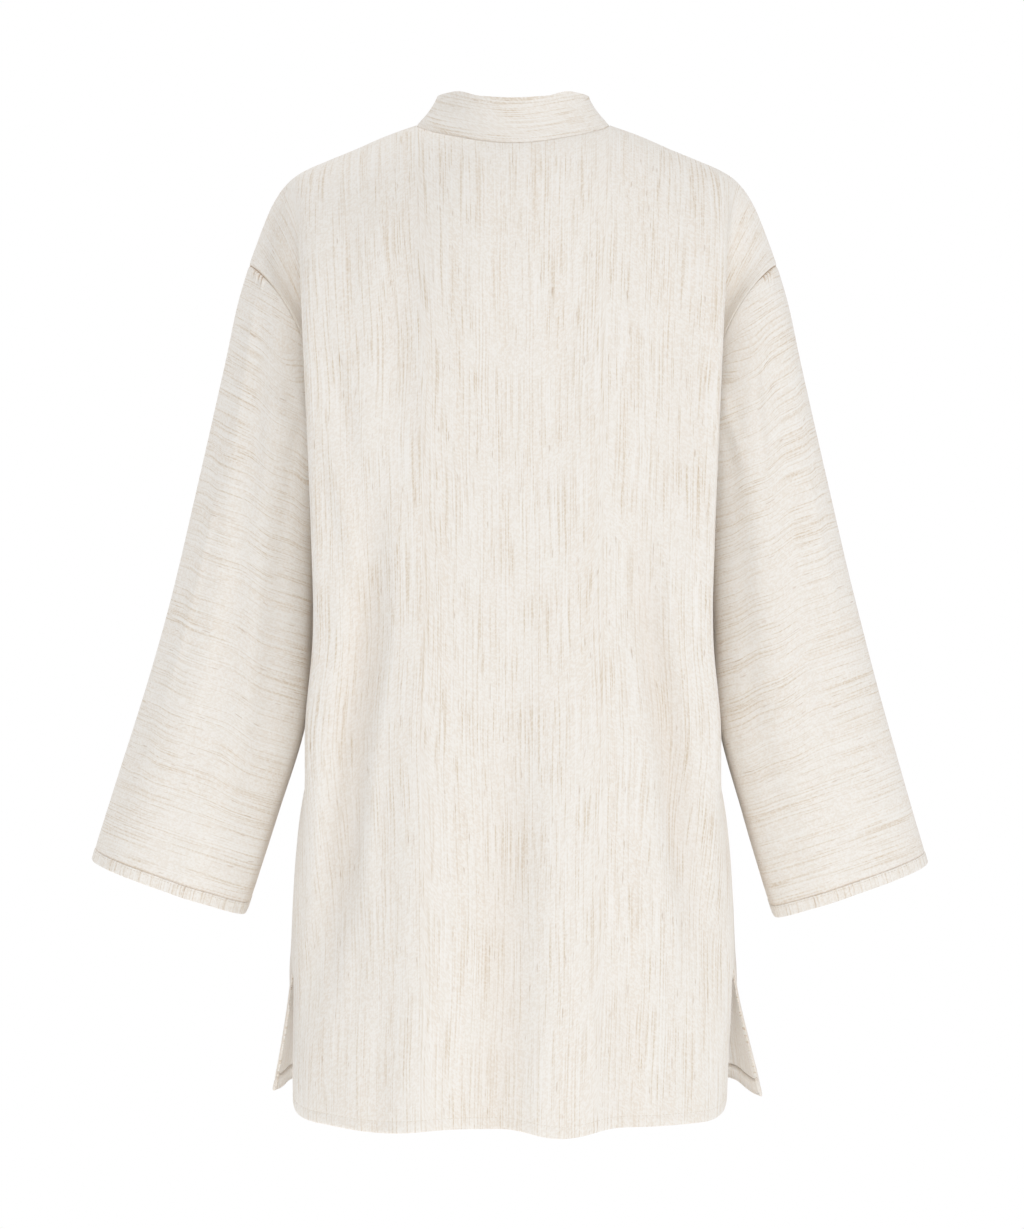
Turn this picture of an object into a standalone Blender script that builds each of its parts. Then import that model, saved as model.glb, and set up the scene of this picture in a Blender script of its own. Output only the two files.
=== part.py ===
"""A loose tunic as it hangs when worn: stand collar, dropped shoulders, wide sleeves and open side slits.

The tables are in millimetres and the scene is in metres. The origin is the middle of the neck at the height of the
inner ends of the shoulder seams. +X is the wearer's left, -Y the wearer's front and +Z up.

Each panel is described in the cloth: "cloth" is the distance from the panel's middle to a straight grain line, and
the grain line is then followed down the garment. Above the underarm, a grain line is a curve from the shoulder line
down to the chest, and the neck is cut out of the sheet that these curves span. Below it, the grain line runs through
the sections of the torso.
"""

import functools
import math

import bpy
import numpy as np

MM = 0.001
BACK, FRONT = 1, -1  # the sign of Y
LEFT, RIGHT = 1, -1  # the sign of X

# Cloth and seams
WALL = 1.8
STRIP = 1.1  # the thickness of a binding, a facing or the turned-up part of a hem
SEAM_GAP = 0.3
HEM = 10.0
BINDING = 10.0  # the width of the binding at the sleeve's mouth

# Heights
UNDERARM_Z = -270.0
SLIT_TOP_Z = -696.0
HEM_Z = {BACK: -820.5, FRONT: -801.0}

# The lower corners beside the slits: how far out and how far down each one hangs
CORNERS = {
    (BACK, LEFT): (0.0, -5.0),
    (BACK, RIGHT): (0.0, -5.0),
    (FRONT, LEFT): (0.0, 2.0),
    (FRONT, RIGHT): (8.0, 5.0),
}
CORNER_WIDTH = 75.0

# Neck and collar
NECK_HALF = 80.0
NECK_CUT = {BACK: 0.30, FRONT: 0.46}  # the share of the middle grain line that the neck cuts off
COLLAR_TOP_HALF = 63.0
COLLAR_TOP_DEPTH = {BACK: 51.0, FRONT: 70.0}
COLLAR_RISE = {BACK: 38.0, FRONT: 36.0}
COLLAR_RISE_SIDE = 26.5
COLLAR_HOLLOW = 2.2  # how far the band curves in between its two edges
COLLAR_CORNER = 8.0
COLLAR_GAP_HALF = 9.0  # between the collar's upper corners
NECK_SLIT_END_Z = -222.0
NECK_SLIT_HALF = 5.0
NECK_SLIT_END_HALF = 0.8
NECK_SLIT_EASE = 60.0  # the cloth beside the slit that moves aside with it

# The cloth positions of the grain lines that the tables describe
PANEL_HALF = 270.0
EDGE_LINE = 180.0
GRAIN_LINES = (0.0, 45.0, NECK_HALF, 135.0, EDGE_LINE, 207.0, 237.0, PANEL_HALF)

# The shoulder line from the middle of the neck over the arm to the top of the sleeve seam: how far out, and height
SHOULDER_LINE = (
    (0.0, 14.0),
    (40.0, 11.5),
    (80.0, 0.0),
    (105.0, -8.7),
    (130.0, -19.5),
    (155.0, -30.0),
    (172.0, -37.5),
    (184.5, -45.0),
    (194.0, -55.0),
    (201.0, -66.5),
    (208.0, -83.0),
    (214.0, -100.0),
    (220.0, -118.0),
)

# Sections of the torso. The middle of the panel stands "middle" out from the side plane. The cloth turns at the
# edge beside the arm, runs back in under it to the fold, and reaches the side seam past the inner point.
TORSO_COLUMNS = ("z", "middle", "edge_x", "edge_y", "fold_x", "fold_y", "inner_x", "inner_y", "side_x", "side_y")
TORSO = {
    BACK: (
        (-270.0, 106, 167.0, 84, 150.0, 54, 147.0, 27, 149.0, 0),
        (-345.0, 107, 164.0, 84, 147.0, 54, 144.0, 27, 145.0, 0),
        (-425.0, 108, 162.5, 82, 149.0, 54, 146.0, 27, 146.0, 0),
        (-505.0, 110, 168.5, 77, 163.0, 50, 161.0, 26, 161.0, 0),
        (-575.0, 113, 165.0, 74, 174.0, 50, 176.0, 25, 176.0, 0),
        (-640.0, 116, 163.0, 74, 177.0, 51, 181.5, 26, 182.0, 0),
        (-696.0, 118, 162.0, 74, 177.0, 52, 182.5, 26, 183.5, 0),
        (-825.0, 122, 160.0, 74, 174.0, 52, 180.0, 27, 182.0, 3),
    ),
    FRONT: (
        (-270.0, 126, 167.0, 94, 150.0, 60, 147.0, 30, 149.0, 0),
        (-345.0, 129, 164.0, 95, 147.0, 60, 144.0, 30, 145.0, 0),
        (-425.0, 128, 162.5, 93, 149.0, 60, 146.0, 30, 146.0, 0),
        (-505.0, 128, 168.5, 86, 163.0, 55, 161.0, 28, 161.0, 0),
        (-575.0, 129, 167.0, 82, 175.0, 54, 177.0, 27, 176.0, 0),
        (-640.0, 131, 165.0, 82, 178.5, 55, 184.0, 28, 182.0, 0),
        (-696.0, 132, 165.0, 82, 180.0, 56, 187.0, 29, 183.5, 0),
        (-825.0, 136, 172.0, 85, 192.0, 61, 203.0, 36, 207.0, 8),
    ),
}
FLAT_POWER = 3.0  # how late the panel bends away from its flat middle

# How each grain line leaves the shoulder line, and how it arrives at the chest. "out" is away from the side plane.
# The last grain line is the sleeve seam and has no row.
YOKE_COLUMNS = ("across_1", "out_1", "down_1", "across_2", "out_2", "up_2")
YOKE = {
    BACK: (
        (0, 85, 6, 0, 0, 150),
        (0, 80, 8, 0, 0, 150),
        (1, 68, 10, 0, 0, 145),
        (3, 57, 12, 0, 0, 134),
        (4, 46, 7, 5, 4, 120),
        (-9, 34, 10, -6, 0, 104),
        (-3, 44, 12, 2, 20, 96),
    ),
    FRONT: (
        (0, 58, 8, 0, -8, 120),
        (0, 59, 10, 0, -10, 122),
        (1, 54, 16, 0, -14, 124),
        (3, 47, 20, 0, -12, 122),
        (4, 42, 10, 4, -8, 110),
        (-9, 32, 12, -6, -6, 100),
        (-3, 42, 13, 2, 18, 96),
    ),
}

# The sleeve's rings: its outer line, its inner line, half its depth, its middle, and how late it drops inwards
SLEEVE_COLUMNS = ("outer_x", "outer_z", "inner_x", "inner_z", "half_depth", "middle_y", "late")
SLEEVE = (
    (220.0, -118.0, 149.0, -270.0, 50.0, 0.0, 1.25),
    (229.0, -150.0, 154.0, -277.0, 56.0, -1.0, 1.0),
    (238.5, -195.0, 159.0, -289.0, 59.5, -2.5, 0.75),
    (251.0, -250.0, 162.5, -311.0, 60.5, -4.5, 0.45),
    (265.0, -310.0, 165.0, -349.0, 60.0, -7.0, 0.2),
    (283.0, -385.0, 168.0, -420.0, 58.5, -11.0, 0.0),
    (303.5, -460.0, 173.0, -497.0, 56.5, -15.0, 0.0),
    (327.5, -538.0, 196.0, -577.0, 53.0, -20.0, 0.0),
    (350.5, -611.5, 220.5, -655.0, 49.0, -25.0, 0.0),
)
CUFF = len(SLEEVE) - 1
CUFF_LEAN = 0.07  # how much lower the back of the sleeve's mouth hangs, for each millimetre of depth

# Soft folds of the panels: where each starts and ends, its place in the cloth at the top, half way and at the end,
# half its width, and its height. A height below 0 is a trough. Cloth below 0 is on the wearer's right.
FOLD_COLUMNS = ("face", "top", "bottom", "cloth_1", "cloth_2", "cloth_3", "half_width", "height")
FOLDS = (
    (BACK, -262.0, -735.0, 126.0, 146.0, 196.0, 30.0, -9.0),
    (BACK, -300.0, -690.0, -112.0, -144.0, -184.0, 28.0, -6.5),
    (BACK, -400.0, -1000.0, 4.0, 10.0, 14.0, 42.0, -9.0),
    (BACK, -330.0, -1000.0, 74.0, 82.0, 92.0, 42.0, 5.0),
    (BACK, -420.0, -1000.0, -40.0, -46.0, -54.0, 42.0, 6.0),
    (BACK, -600.0, -1000.0, -92.0, -106.0, -122.0, 30.0, -5.0),
    (BACK, -60.0, -330.0, 92.0, 98.0, 104.0, 32.0, -3.0),
    (BACK, -110.0, -360.0, -132.0, -142.0, -146.0, 30.0, -4.0),
    (FRONT, -250.0, -1000.0, 96.0, 116.0, 140.0, 34.0, -9.0),
    (FRONT, -240.0, -1000.0, -90.0, -112.0, -128.0, 38.0, -10.0),
    (FRONT, -300.0, -1000.0, 44.0, 54.0, 62.0, 44.0, 9.0),
    (FRONT, -320.0, -1000.0, -34.0, -44.0, -50.0, 42.0, 7.0),
    (FRONT, -380.0, -1000.0, 4.0, 2.0, 0.0, 40.0, -8.0),
)
FOLD_EASE = 0.4  # the share of a fold's length over which it grows or dies away

# Where the hem dips: face, place in the cloth, half width, depth
HEM_DIPS = ((BACK, 118.0, 75.0, 4.5), (BACK, -46.0, 56.0, 7.0), (FRONT, 70.0, 60.0, 4.0), (FRONT, -62.0, 64.0, 5.0))

# Soft folds along a sleeve: side, place round it in half turns (above 0 at the back), half width in half turns,
# first ring, last ring, height
SLEEVE_FOLDS = (
    (LEFT, 0.34, 0.10, 0.3, 4.6, -4.0),
    (LEFT, 0.20, 0.09, 0.6, 5.0, 2.5),
    (LEFT, 0.58, 0.12, 1.5, 9.0, 3.0),
    (LEFT, -0.40, 0.12, 0.5, 6.0, -4.5),
    (LEFT, -0.66, 0.12, 1.5, 7.5, 3.5),
    (RIGHT, 0.36, 0.10, 0.3, 4.2, -4.0),
    (RIGHT, 0.21, 0.09, 0.5, 5.4, 3.0),
    (RIGHT, 0.60, 0.12, 1.8, 9.0, 3.0),
    (RIGHT, -0.38, 0.12, 0.5, 6.5, -4.5),
    (RIGHT, -0.64, 0.12, 1.2, 7.8, 3.5),
)
# The gathers below the sleeve seam: side, face, first place round the sleeve in half turns, how many, height
GATHERS = (
    (LEFT, BACK, 0.165, 5, 1.3),
    (RIGHT, BACK, 0.160, 5, 1.3),
    (LEFT, FRONT, 0.165, 5, 1.3),
    (RIGHT, FRONT, 0.160, 5, 1.3),
)
GATHER_PITCH = 0.021  # in half turns
GATHER_LENGTH = 0.5  # in rings

# Where the solids have their points
COLUMNS = {
    BACK: (0, 22, 42, 59, 71, 78, 80, 94, 108, 122, 136, 150, 163, 174, 182, 190, 198, 206, 216, 229, 245, 262, 270),
    FRONT: (0, 3, 8, 23, 42, 59, 71, 78, 80, 96, 112, 128, 144, 160, 173, 182, 191, 200, 210, 222, 240, 260, 270),
}
YOKE_STEPS = (0, 0.06, 0.13, 0.21, 0.3, 0.39, 0.48, 0.57, 0.66, 0.75, 0.84, 0.93)
TORSO_LEVELS = (-270, -300, -338, -380, -425, -470, -515, -560, -605, -650, -696)
SLIT_STEPS = (0.26, 0.52, 0.76)
RING_STEPS = (0, 0.16, 0.34, 0.65, 1.1, 1.6, 2.2, 2.9, 3.7, 4.5, 5.3, 6.1, 6.9)
COLLAR_STEPS = (0, 0.13, 0.5, 0.8, 1)
NUDGE = 0.02  # a short step along a curve, for its direction

LINEN = (0.86, 0.82, 0.76, 1.0)
LINEN_SHADED = (0.80, 0.75, 0.68, 1.0)


def clear_scene():
    for thing in list(bpy.data.objects):
        bpy.data.objects.remove(thing)


# ---------------------------------------------------------------------------------------------------------------
# Arithmetic
# ---------------------------------------------------------------------------------------------------------------


def unit(vectors):
    return vectors / np.maximum(np.linalg.norm(vectors, axis=-1, keepdims=True), 1e-9)


def smooth(knots, values, at):
    """The cubic through values at the knots, with each slope taken from the neighbours."""
    knots = np.asarray(knots, float)
    values = np.asarray(values, float)
    slopes = np.gradient(values, knots, axis=0)
    i = int(np.clip(np.searchsorted(knots, at) - 1, 0, len(knots) - 2))
    span = knots[i + 1] - knots[i]
    s = np.clip((at - knots[i]) / span, 0.0, 1.0)
    leave, arrive = slopes[i] * span, slopes[i + 1] * span
    near = values[i] * (1 + 2 * s) + leave * s
    far = values[i + 1] * (3 - 2 * s) - arrive * (1 - s)
    return near * (1 - s) ** 2 + far * s * s


def ramp(value):
    """0 below 0, 1 above 1 and a smooth rise between them."""
    value = min(max(value, 0.0), 1.0)
    return value * value * (3 - 2 * value)


def bump(distance, half_width):
    """1 at the middle and 0 from half_width on."""
    return math.cos(min(abs(distance) / half_width, 1.0) * math.pi / 2) ** 2


def bezier(points, t):
    a, b, c, d = points
    return a * (1 - t) ** 3 + 3 * b * t * (1 - t) ** 2 + 3 * c * t * t * (1 - t) + d * t**3


def grid_normals(grid, outward):
    """Unit normals of a grid of points, turned to the side that outward names at the grid's middle."""
    normals = np.cross(np.gradient(grid, axis=1), np.gradient(grid, axis=0))
    middle = normals[normals.shape[0] // 2, normals.shape[1] // 2]
    return unit(normals if middle @ outward > 0 else -normals)


# ---------------------------------------------------------------------------------------------------------------
# The sleeve before its folds, as the panels need its seam
# ---------------------------------------------------------------------------------------------------------------


def sleeve_base(ring, turn):
    """A point of the left sleeve. turn is in half turns from the outer line, above 0 at the back."""
    row = dict(zip(SLEEVE_COLUMNS, smooth(np.arange(len(SLEEVE)), SLEEVE, ring)))
    angle = math.pi * turn
    share = (1 - math.cos(angle)) / 2
    depth = row["half_depth"] * math.sin(angle)
    lean = CUFF_LEAN * ramp(ring / CUFF) * depth
    fall = share ** (1 + row["late"] * (0.3 + share))
    x = row["outer_x"] + (row["inner_x"] - row["outer_x"]) * share
    z = row["outer_z"] + (row["inner_z"] - row["outer_z"]) * fall
    return np.array((x, row["middle_y"] + depth, z - lean))


# ---------------------------------------------------------------------------------------------------------------
# The body
# ---------------------------------------------------------------------------------------------------------------


def shoulder_point(cloth):
    line = np.array(SHOULDER_LINE)
    along = np.concatenate(([0.0], np.cumsum(np.linalg.norm(np.diff(line, axis=0), axis=1))))
    x, z = smooth(along, line, abs(cloth) / PANEL_HALF * along[-1])
    return np.array((x if cloth > 0 else -x, 0.0, z))


@functools.lru_cache(maxsize=None)
def section_row(face, z):
    table = np.array(TORSO[face])
    return dict(zip(TORSO_COLUMNS, smooth(-table[:, 0], table, -z)))


def torso_point(face, cloth, z):
    """A point of one panel's section, which runs on into the other panel's at the side seam."""
    row = section_row(face, z)
    other = section_row(-face, max(z, SLIT_TOP_Z))
    points = []
    for flat in (-45.0, 0.0, 45.0, 90.0, 135.0, 160.0, EDGE_LINE):
        bend = (row["middle"] - row["edge_y"]) * abs(flat / EDGE_LINE) ** FLAT_POWER
        points.append((flat, row["edge_x"] * flat / EDGE_LINE, row["middle"] - bend))
    points.append((GRAIN_LINES[5], row["fold_x"], row["fold_y"]))
    points.append((GRAIN_LINES[6], row["inner_x"], row["inner_y"]))
    points.append((PANEL_HALF, row["side_x"], row["side_y"]))
    points.append((2 * PANEL_HALF - GRAIN_LINES[6], other["inner_x"], -other["inner_y"]))
    points = np.array(points)
    x, y = smooth(points[:, 0], points[:, 1:], cloth)
    return np.array((x, face * y, z))


@functools.lru_cache(maxsize=None)
def grain_curve(face, index, t):
    """A point of one of the table's grain lines, from the shoulder line at 0 to the underarm's height at 1."""
    cloth = GRAIN_LINES[index]
    if cloth == PANEL_HALF:
        return sleeve_base(0, face * t)
    row = dict(zip(YOKE_COLUMNS, YOKE[face][index]))
    start = shoulder_point(cloth)
    end = torso_point(face, cloth, UNDERARM_Z)
    leave = start + np.array((row["across_1"], face * row["out_1"], -row["down_1"]))
    arrive = end + np.array((row["across_2"], face * row["out_2"], row["up_2"]))
    return bezier((start, leave, arrive, end), t)


def yoke_point(face, cloth, t):
    """A point of the sheet above the underarm, before the neck is cut out of it."""
    knots = [-GRAIN_LINES[1], *GRAIN_LINES]
    points = [grain_curve(face, index, t) for index in range(len(GRAIN_LINES))]
    point = smooth(knots, [points[1] * (-1, 1, 1), *points], cloth)
    # The shoulder bends more sharply than the grain lines can carry across.
    carried = smooth(knots, [shoulder_point(knot) for knot in knots], cloth)
    return point + (shoulder_point(cloth) - carried) * (1 - ramp(t / 0.45))


def armhole_normal(turn):
    """The way out of the cloth on the sleeve seam, half way between the panel's and the sleeve's."""
    along = sleeve_base(0, turn + NUDGE) - sleeve_base(0, turn - NUDGE)
    sleeve = unit(np.cross(sleeve_base(RING_STEPS[1], turn) - sleeve_base(0, turn), along))
    face = FRONT if turn < 0 else BACK
    beside = yoke_point(face, COLUMNS[face][-2], abs(turn))
    panel = unit(np.cross(sleeve_base(0, turn) - beside, along))
    normal = panel + sleeve
    if turn in (0, 1):
        normal[1] = 0.0
    return unit(normal)


def neck_start(face, cloth):
    """How far down its grain line the panel starts."""
    return NECK_CUT[face] * math.sqrt(max(1 - (cloth / NECK_HALF) ** 2, 0.0))


def hem_z(face, side, cloth):
    dips = sum(d * bump(side * cloth - at, half) for of_face, at, half, d in HEM_DIPS if of_face == face)
    corner = ramp(1 - (PANEL_HALF - cloth) / CORNER_WIDTH)
    return HEM_Z[face] - dips - CORNERS[face, side][1] * corner


def panel_levels(face):
    """The rows of a panel: ("yoke", step), ("torso", z) and, beside the slit, ("slit", share of the way down)."""
    levels = [("yoke", t) for t in YOKE_STEPS] + [("torso", z) for z in TORSO_LEVELS]
    length = SLIT_TOP_Z - HEM_Z[face]
    return levels + [("slit", share) for share in (*SLIT_STEPS, 1 - HEM / length, 1.0)]


def panel_base(face, side, cloth, level):
    kind, value = level
    if kind == "yoke":
        start = neck_start(face, cloth)
        return yoke_point(face, cloth, start + (1 - start) * value)
    if kind == "torso":
        return torso_point(face, cloth, value)
    point = torso_point(face, cloth, SLIT_TOP_Z + (hem_z(face, side, cloth) - SLIT_TOP_Z) * value)
    point[0] += CORNERS[face, side][0] * ramp(value) * ramp(1 - (PANEL_HALF - cloth) / CORNER_WIDTH)
    return point


def fold_height(face, cloth, z):
    """How far the soft folds push the cloth out at a place of a panel. cloth is below 0 on the wearer's right."""
    height = 0.0
    for values in FOLDS:
        row = dict(zip(FOLD_COLUMNS, values))
        down = (row["top"] - z) / (row["top"] - row["bottom"])
        if row["face"] == face and 0 < down < 1:
            up = 1 - down
            place = row["cloth_1"] * up * (up - down) + row["cloth_2"] * 4 * up * down
            place += row["cloth_3"] * down * (down - up)
            ease = ramp(down / FOLD_EASE) * ramp(up / FOLD_EASE)
            height += row["height"] * ease * bump(cloth - place, row["half_width"])
    return height


def slit_half(z):
    """Half the width of the slit below the collar."""
    top = yoke_point(FRONT, 0.0, NECK_CUT[FRONT])[2]
    share = (z - NECK_SLIT_END_Z) / (top - NECK_SLIT_END_Z)
    return NECK_SLIT_END_HALF + (NECK_SLIT_HALF - NECK_SLIT_END_HALF) * max(share, 0.0)


def slit_ease(cloth):
    return max(1 - cloth / NECK_SLIT_EASE, 0.0) ** 2


def slit_row():
    """The row of the front at which the slit below the collar ends."""
    heights = [panel_base(FRONT, LEFT, 0.0, level)[2] for level in panel_levels(FRONT)]
    return int(np.argmin([abs(z - NECK_SLIT_END_Z) for z in heights]))


def panel_half(face, side):
    """The outer points and the normals of half a panel, row by row from the top, from the middle to the side."""
    levels = panel_levels(face)
    columns = COLUMNS[face]
    grid = np.array([[panel_base(face, side, cloth, level) for cloth in columns] for level in levels])
    normals = grid_normals(grid, np.array((0.0, face, 0.0)))
    heights = [[fold_height(face, side * c, z) for c, z in zip(columns, row[:, 2])] for row in grid]
    grid = grid + normals * np.array(heights)[..., None]
    normals = grid_normals(grid, np.array((0.0, face, 0.0)))
    kinds = [kind for kind, _ in levels]
    underarm, slit_top = kinds.index("torso"), kinds.index("slit")
    for j, cloth in enumerate(columns):
        if cloth <= NECK_HALF:
            normals[0, j] = neck_normal(face, cloth)
        else:
            normals[0, j] = unit(normals[0, j] * (1, 0, 1))
        if cloth >= NECK_HALF:
            grid[0, j, 1] = face * SEAM_GAP / 2
    for i in range(underarm):
        normals[i, -1] = armhole_normal(face * levels[i][1])
    normals[underarm, -1] = armhole_normal(1.0)
    grid[underarm:slit_top, -1, 1] = face * SEAM_GAP / 2
    normals[underarm + 1 : slit_top, -1] = unit(normals[underarm + 1 : slit_top, -1] * (1, 0, 1))
    normals[:, 0] = unit(normals[:, 0] * (0, 1, 1))
    if face == FRONT:
        for i in range(slit_row()):
            grid[i, :, 0] += [slit_half(grid[i, 0, 2]) * slit_ease(cloth) for cloth in columns]
    return grid * (side, 1, 1), normals * (side, 1, 1)


# ---------------------------------------------------------------------------------------------------------------
# The collar
# ---------------------------------------------------------------------------------------------------------------


def collar_point(face, cloth, share):
    """A point of the band, from the neck seam at 0 to its top edge at 1, on the wearer's left."""
    side = min(cloth / NECK_HALF, 1.0)
    forward = math.sqrt(1 - side * side)
    base = yoke_point(face, cloth, neck_start(face, cloth))
    rise = COLLAR_RISE_SIDE + (COLLAR_RISE[face] - COLLAR_RISE_SIDE) * forward**2
    top = np.array((COLLAR_TOP_HALF * side, face * COLLAR_TOP_DEPTH[face] * forward, base[2] + rise))
    if face == FRONT:
        base[0] += slit_half(base[2]) * slit_ease(cloth)
        top[0] += COLLAR_GAP_HALF * slit_ease(cloth)
        if cloth < COLLAR_CORNER:
            drop = COLLAR_CORNER - math.sqrt(COLLAR_CORNER**2 - (COLLAR_CORNER - cloth) ** 2)
            top += (base - top) / rise * drop
    hollow = COLLAR_HOLLOW * 4 * share * (1 - share)
    return base + (top - base) * share - np.array((side, face * forward, 0.0)) * hollow


def neck_normal(face, cloth):
    """The way out of the cloth on the neck seam, half way between the panel's and the band's."""
    side = min(cloth / NECK_HALF, 1.0)
    outward = np.array((side, face * math.sqrt(1 - side * side), 0.2))
    t = neck_start(face, cloth)
    across = yoke_point(face, cloth + 1, t) - yoke_point(face, cloth - 1, t)
    panel = unit(np.cross(across, yoke_point(face, cloth, t + NUDGE) - yoke_point(face, cloth, t)))
    near, far = max(cloth - 1, 0.0), min(cloth + 1, NECK_HALF)
    along = collar_point(face, far, 0.0) - collar_point(face, near, 0.0)
    if cloth == NECK_HALF:
        along = np.array((0.0, 1.0, 0.0))
    band = unit(np.cross(along, collar_point(face, cloth, 0.2) - collar_point(face, cloth, 0.0)))
    both = panel * np.sign(panel @ outward) + band * np.sign(band @ outward)
    return unit(both * (1 if cloth else 0, 0 if cloth == NECK_HALF else 1, 1))


def collar_places():
    """(face, side, cloth) round the collar, from its end on the wearer's right to its end on the left."""
    front = [cloth for cloth in COLUMNS[FRONT] if cloth < NECK_HALF]
    back = [cloth for cloth in COLUMNS[BACK] if 0 < cloth < NECK_HALF]
    right = [(FRONT, RIGHT, cloth) for cloth in front] + [(BACK, RIGHT, NECK_HALF)]
    right += [(BACK, RIGHT, cloth) for cloth in reversed(back)]
    return right + [(BACK, LEFT, 0.0)] + [(face, LEFT, cloth) for face, _, cloth in reversed(right)]


def collar_grid():
    places = collar_places()
    mirror = np.array([(side, 1, 1) for _, side, _ in places])
    grid = np.array([[collar_point(face, cloth, share) for face, _, cloth in places] for share in COLLAR_STEPS])
    grid = grid * mirror
    normals = grid_normals(grid, np.array((0.0, BACK, 0.0)))
    normals[0] = [neck_normal(face, cloth) for face, _, cloth in places] * mirror
    grid[0] += unit(grid[1] - grid[0]) * SEAM_GAP
    return grid, normals


# ---------------------------------------------------------------------------------------------------------------
# Solids
# ---------------------------------------------------------------------------------------------------------------


def sheet_faces(index, flip):
    """The four-sided faces of a grid of point numbers."""
    faces = []
    for i in range(index.shape[0] - 1):
        for j in range(index.shape[1] - 1):
            face = (index[i, j], index[i + 1, j], index[i + 1, j + 1], index[i, j + 1])
            faces.append(tuple(int(k) for k in (face[::-1] if flip else face)))
    return faces


def round_index(shape):
    """Point numbers of a grid that closes on itself sideways."""
    index = np.arange(shape[0] * shape[1]).reshape(shape)
    return np.concatenate((index, index[:, :1]), axis=1)


def cloth_solid(name, faces, outer, inner, colour=LINEN):
    """A wall of cloth: the faces on the outer points, the same turned over on the inner ones, and a rim between."""
    count = len(outer)
    solid = list(faces) + [tuple(k + count for k in reversed(face)) for face in faces]
    sides = {(a, b) for face in faces for a, b in zip(face, face[1:] + face[:1])}
    solid += [(b, a, a + count, b + count) for a, b in sorted(sides) if (b, a) not in sides]
    mesh = bpy.data.meshes.new(name)
    mesh.from_pydata([tuple(point * MM) for point in np.concatenate((outer, inner))], [], solid)
    mesh.materials.append(linen(name, colour))
    mesh.shade_smooth()
    mesh.set_sharp_from_angle(angle=math.radians(50))
    tunic.objects.link(bpy.data.objects.new(name, mesh))


def linen(name, colour):
    material = bpy.data.materials.new(name)
    material.use_nodes = True
    shader = material.node_tree.nodes["Principled BSDF"]
    shader.inputs["Base Color"].default_value = colour
    shader.inputs["Roughness"].default_value = 0.9
    shader.inputs["Metallic"].default_value = 0.0
    return material


def panel_depths(rows):
    """The wall of each row of a panel. The hem is turned up, so the last row is thicker."""
    return np.array([WALL] * (rows - 1) + [WALL + STRIP])[:, None, None]


def make_panel(face, name):
    """The front or the back, as one sheet across both sides. The front is slit below the collar."""
    halves = [panel_half(face, side) for side in (LEFT, RIGHT)]
    rows, columns = halves[0][0].shape[:2]
    left = np.arange(rows * columns).reshape(rows, columns)
    right = left + rows * columns
    joined_from = slit_row() if face == FRONT else 0
    right[joined_from:, 0] = left[joined_from:, 0]
    faces = sheet_faces(left, flip=face == BACK) + sheet_faces(right, flip=face == FRONT)
    outer = np.concatenate([grid.reshape(-1, 3) for grid, _ in halves])
    inner = np.concatenate([(grid - normals * panel_depths(rows)).reshape(-1, 3) for grid, normals in halves])
    used = sorted({k for corners in faces for k in corners})
    renumber = {k: i for i, k in enumerate(used)}
    faces = [tuple(renumber[k] for k in corners) for corners in faces]
    cloth_solid(name, faces, outer[used], inner[used])


def make_slit_facing(side, name):
    """The narrow strip inside the front's edge beside a side slit."""
    grid, normals = panel_half(FRONT, side)
    first = [kind for kind, _ in panel_levels(FRONT)].index("slit") - 1
    outer = (grid - normals * (panel_depths(len(grid)) + SEAM_GAP))[first:, -2:]
    outer[0] += (outer[1] - outer[0]) * 0.1
    index = np.arange(outer[..., 0].size).reshape(outer.shape[:2])
    inner = outer - normals[first:, -2:] * STRIP
    faces = sheet_faces(index, flip=side == RIGHT)
    cloth_solid(name, faces, outer.reshape(-1, 3), inner.reshape(-1, 3), LINEN_SHADED)


def seam_turns():
    """The places round a sleeve, in half turns, of the two panels' rows at the sleeve seam."""
    steps = [*YOKE_STEPS, 1.0]
    return steps + [2 - t for t in reversed(steps[1:-1])]


def ring_turns(side):
    """(place round a sleeve, how far a gather raises it): the seam's own places and those of the gathers."""
    places = [(turn, 0.0) for turn in seam_turns()]
    for of_side, face, first, count, height in GATHERS:
        if of_side == side:
            for k in range(2 * count + 1):
                turn = face * (first + k * GATHER_PITCH / 2) % 2
                if all(abs(turn - other) > GATHER_PITCH / 6 for other, _ in places):
                    places.append((turn, height * (k % 2)))
    return sorted(places)


def sleeve_height(side, ring, turn):
    height = 0.0
    for of_side, place, half_width, first, last, fold in SLEEVE_FOLDS:
        if of_side == side:
            ease = ramp((ring - first) / 0.8) * ramp((last - ring) / 1.2)
            away = (turn - place + 1) % 2 - 1
            height += fold * ease * bump(away, half_width)
    return height


def sleeve_rings(side, rings):
    """Outer points and normals of a sleeve's rings, which close on themselves."""
    places = ring_turns(side)

    def normals_of(grid):
        around = np.roll(grid, -1, axis=1) - np.roll(grid, 1, axis=1)
        return unit(np.cross(np.gradient(grid, axis=0), around))

    grid = np.array([[sleeve_base(ring, turn) for turn, _ in places] for ring in rings])
    normals = normals_of(grid)
    heights = np.array([[sleeve_height(side, ring, turn) for turn, _ in places] for ring in rings])
    grid = grid + normals * heights[..., None]
    normals = normals_of(grid)
    near_seam = [ramp(ring / RING_STEPS[1]) * (1 - ramp(ring / GATHER_LENGTH)) for ring in rings]
    gathers = np.outer(near_seam, [height for _, height in places])
    return (grid + normals * gathers[..., None]) * (side, 1, 1), normals * (side, 1, 1)


def chord_share(turn):
    """Which two of the seam's places a turn lies between, and how far along."""
    turns = [*seam_turns(), 2.0]
    i = int(np.searchsorted(turns, turn, side="right")) - 1
    return i, (turn - turns[i]) / (turns[i + 1] - turns[i])


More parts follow.
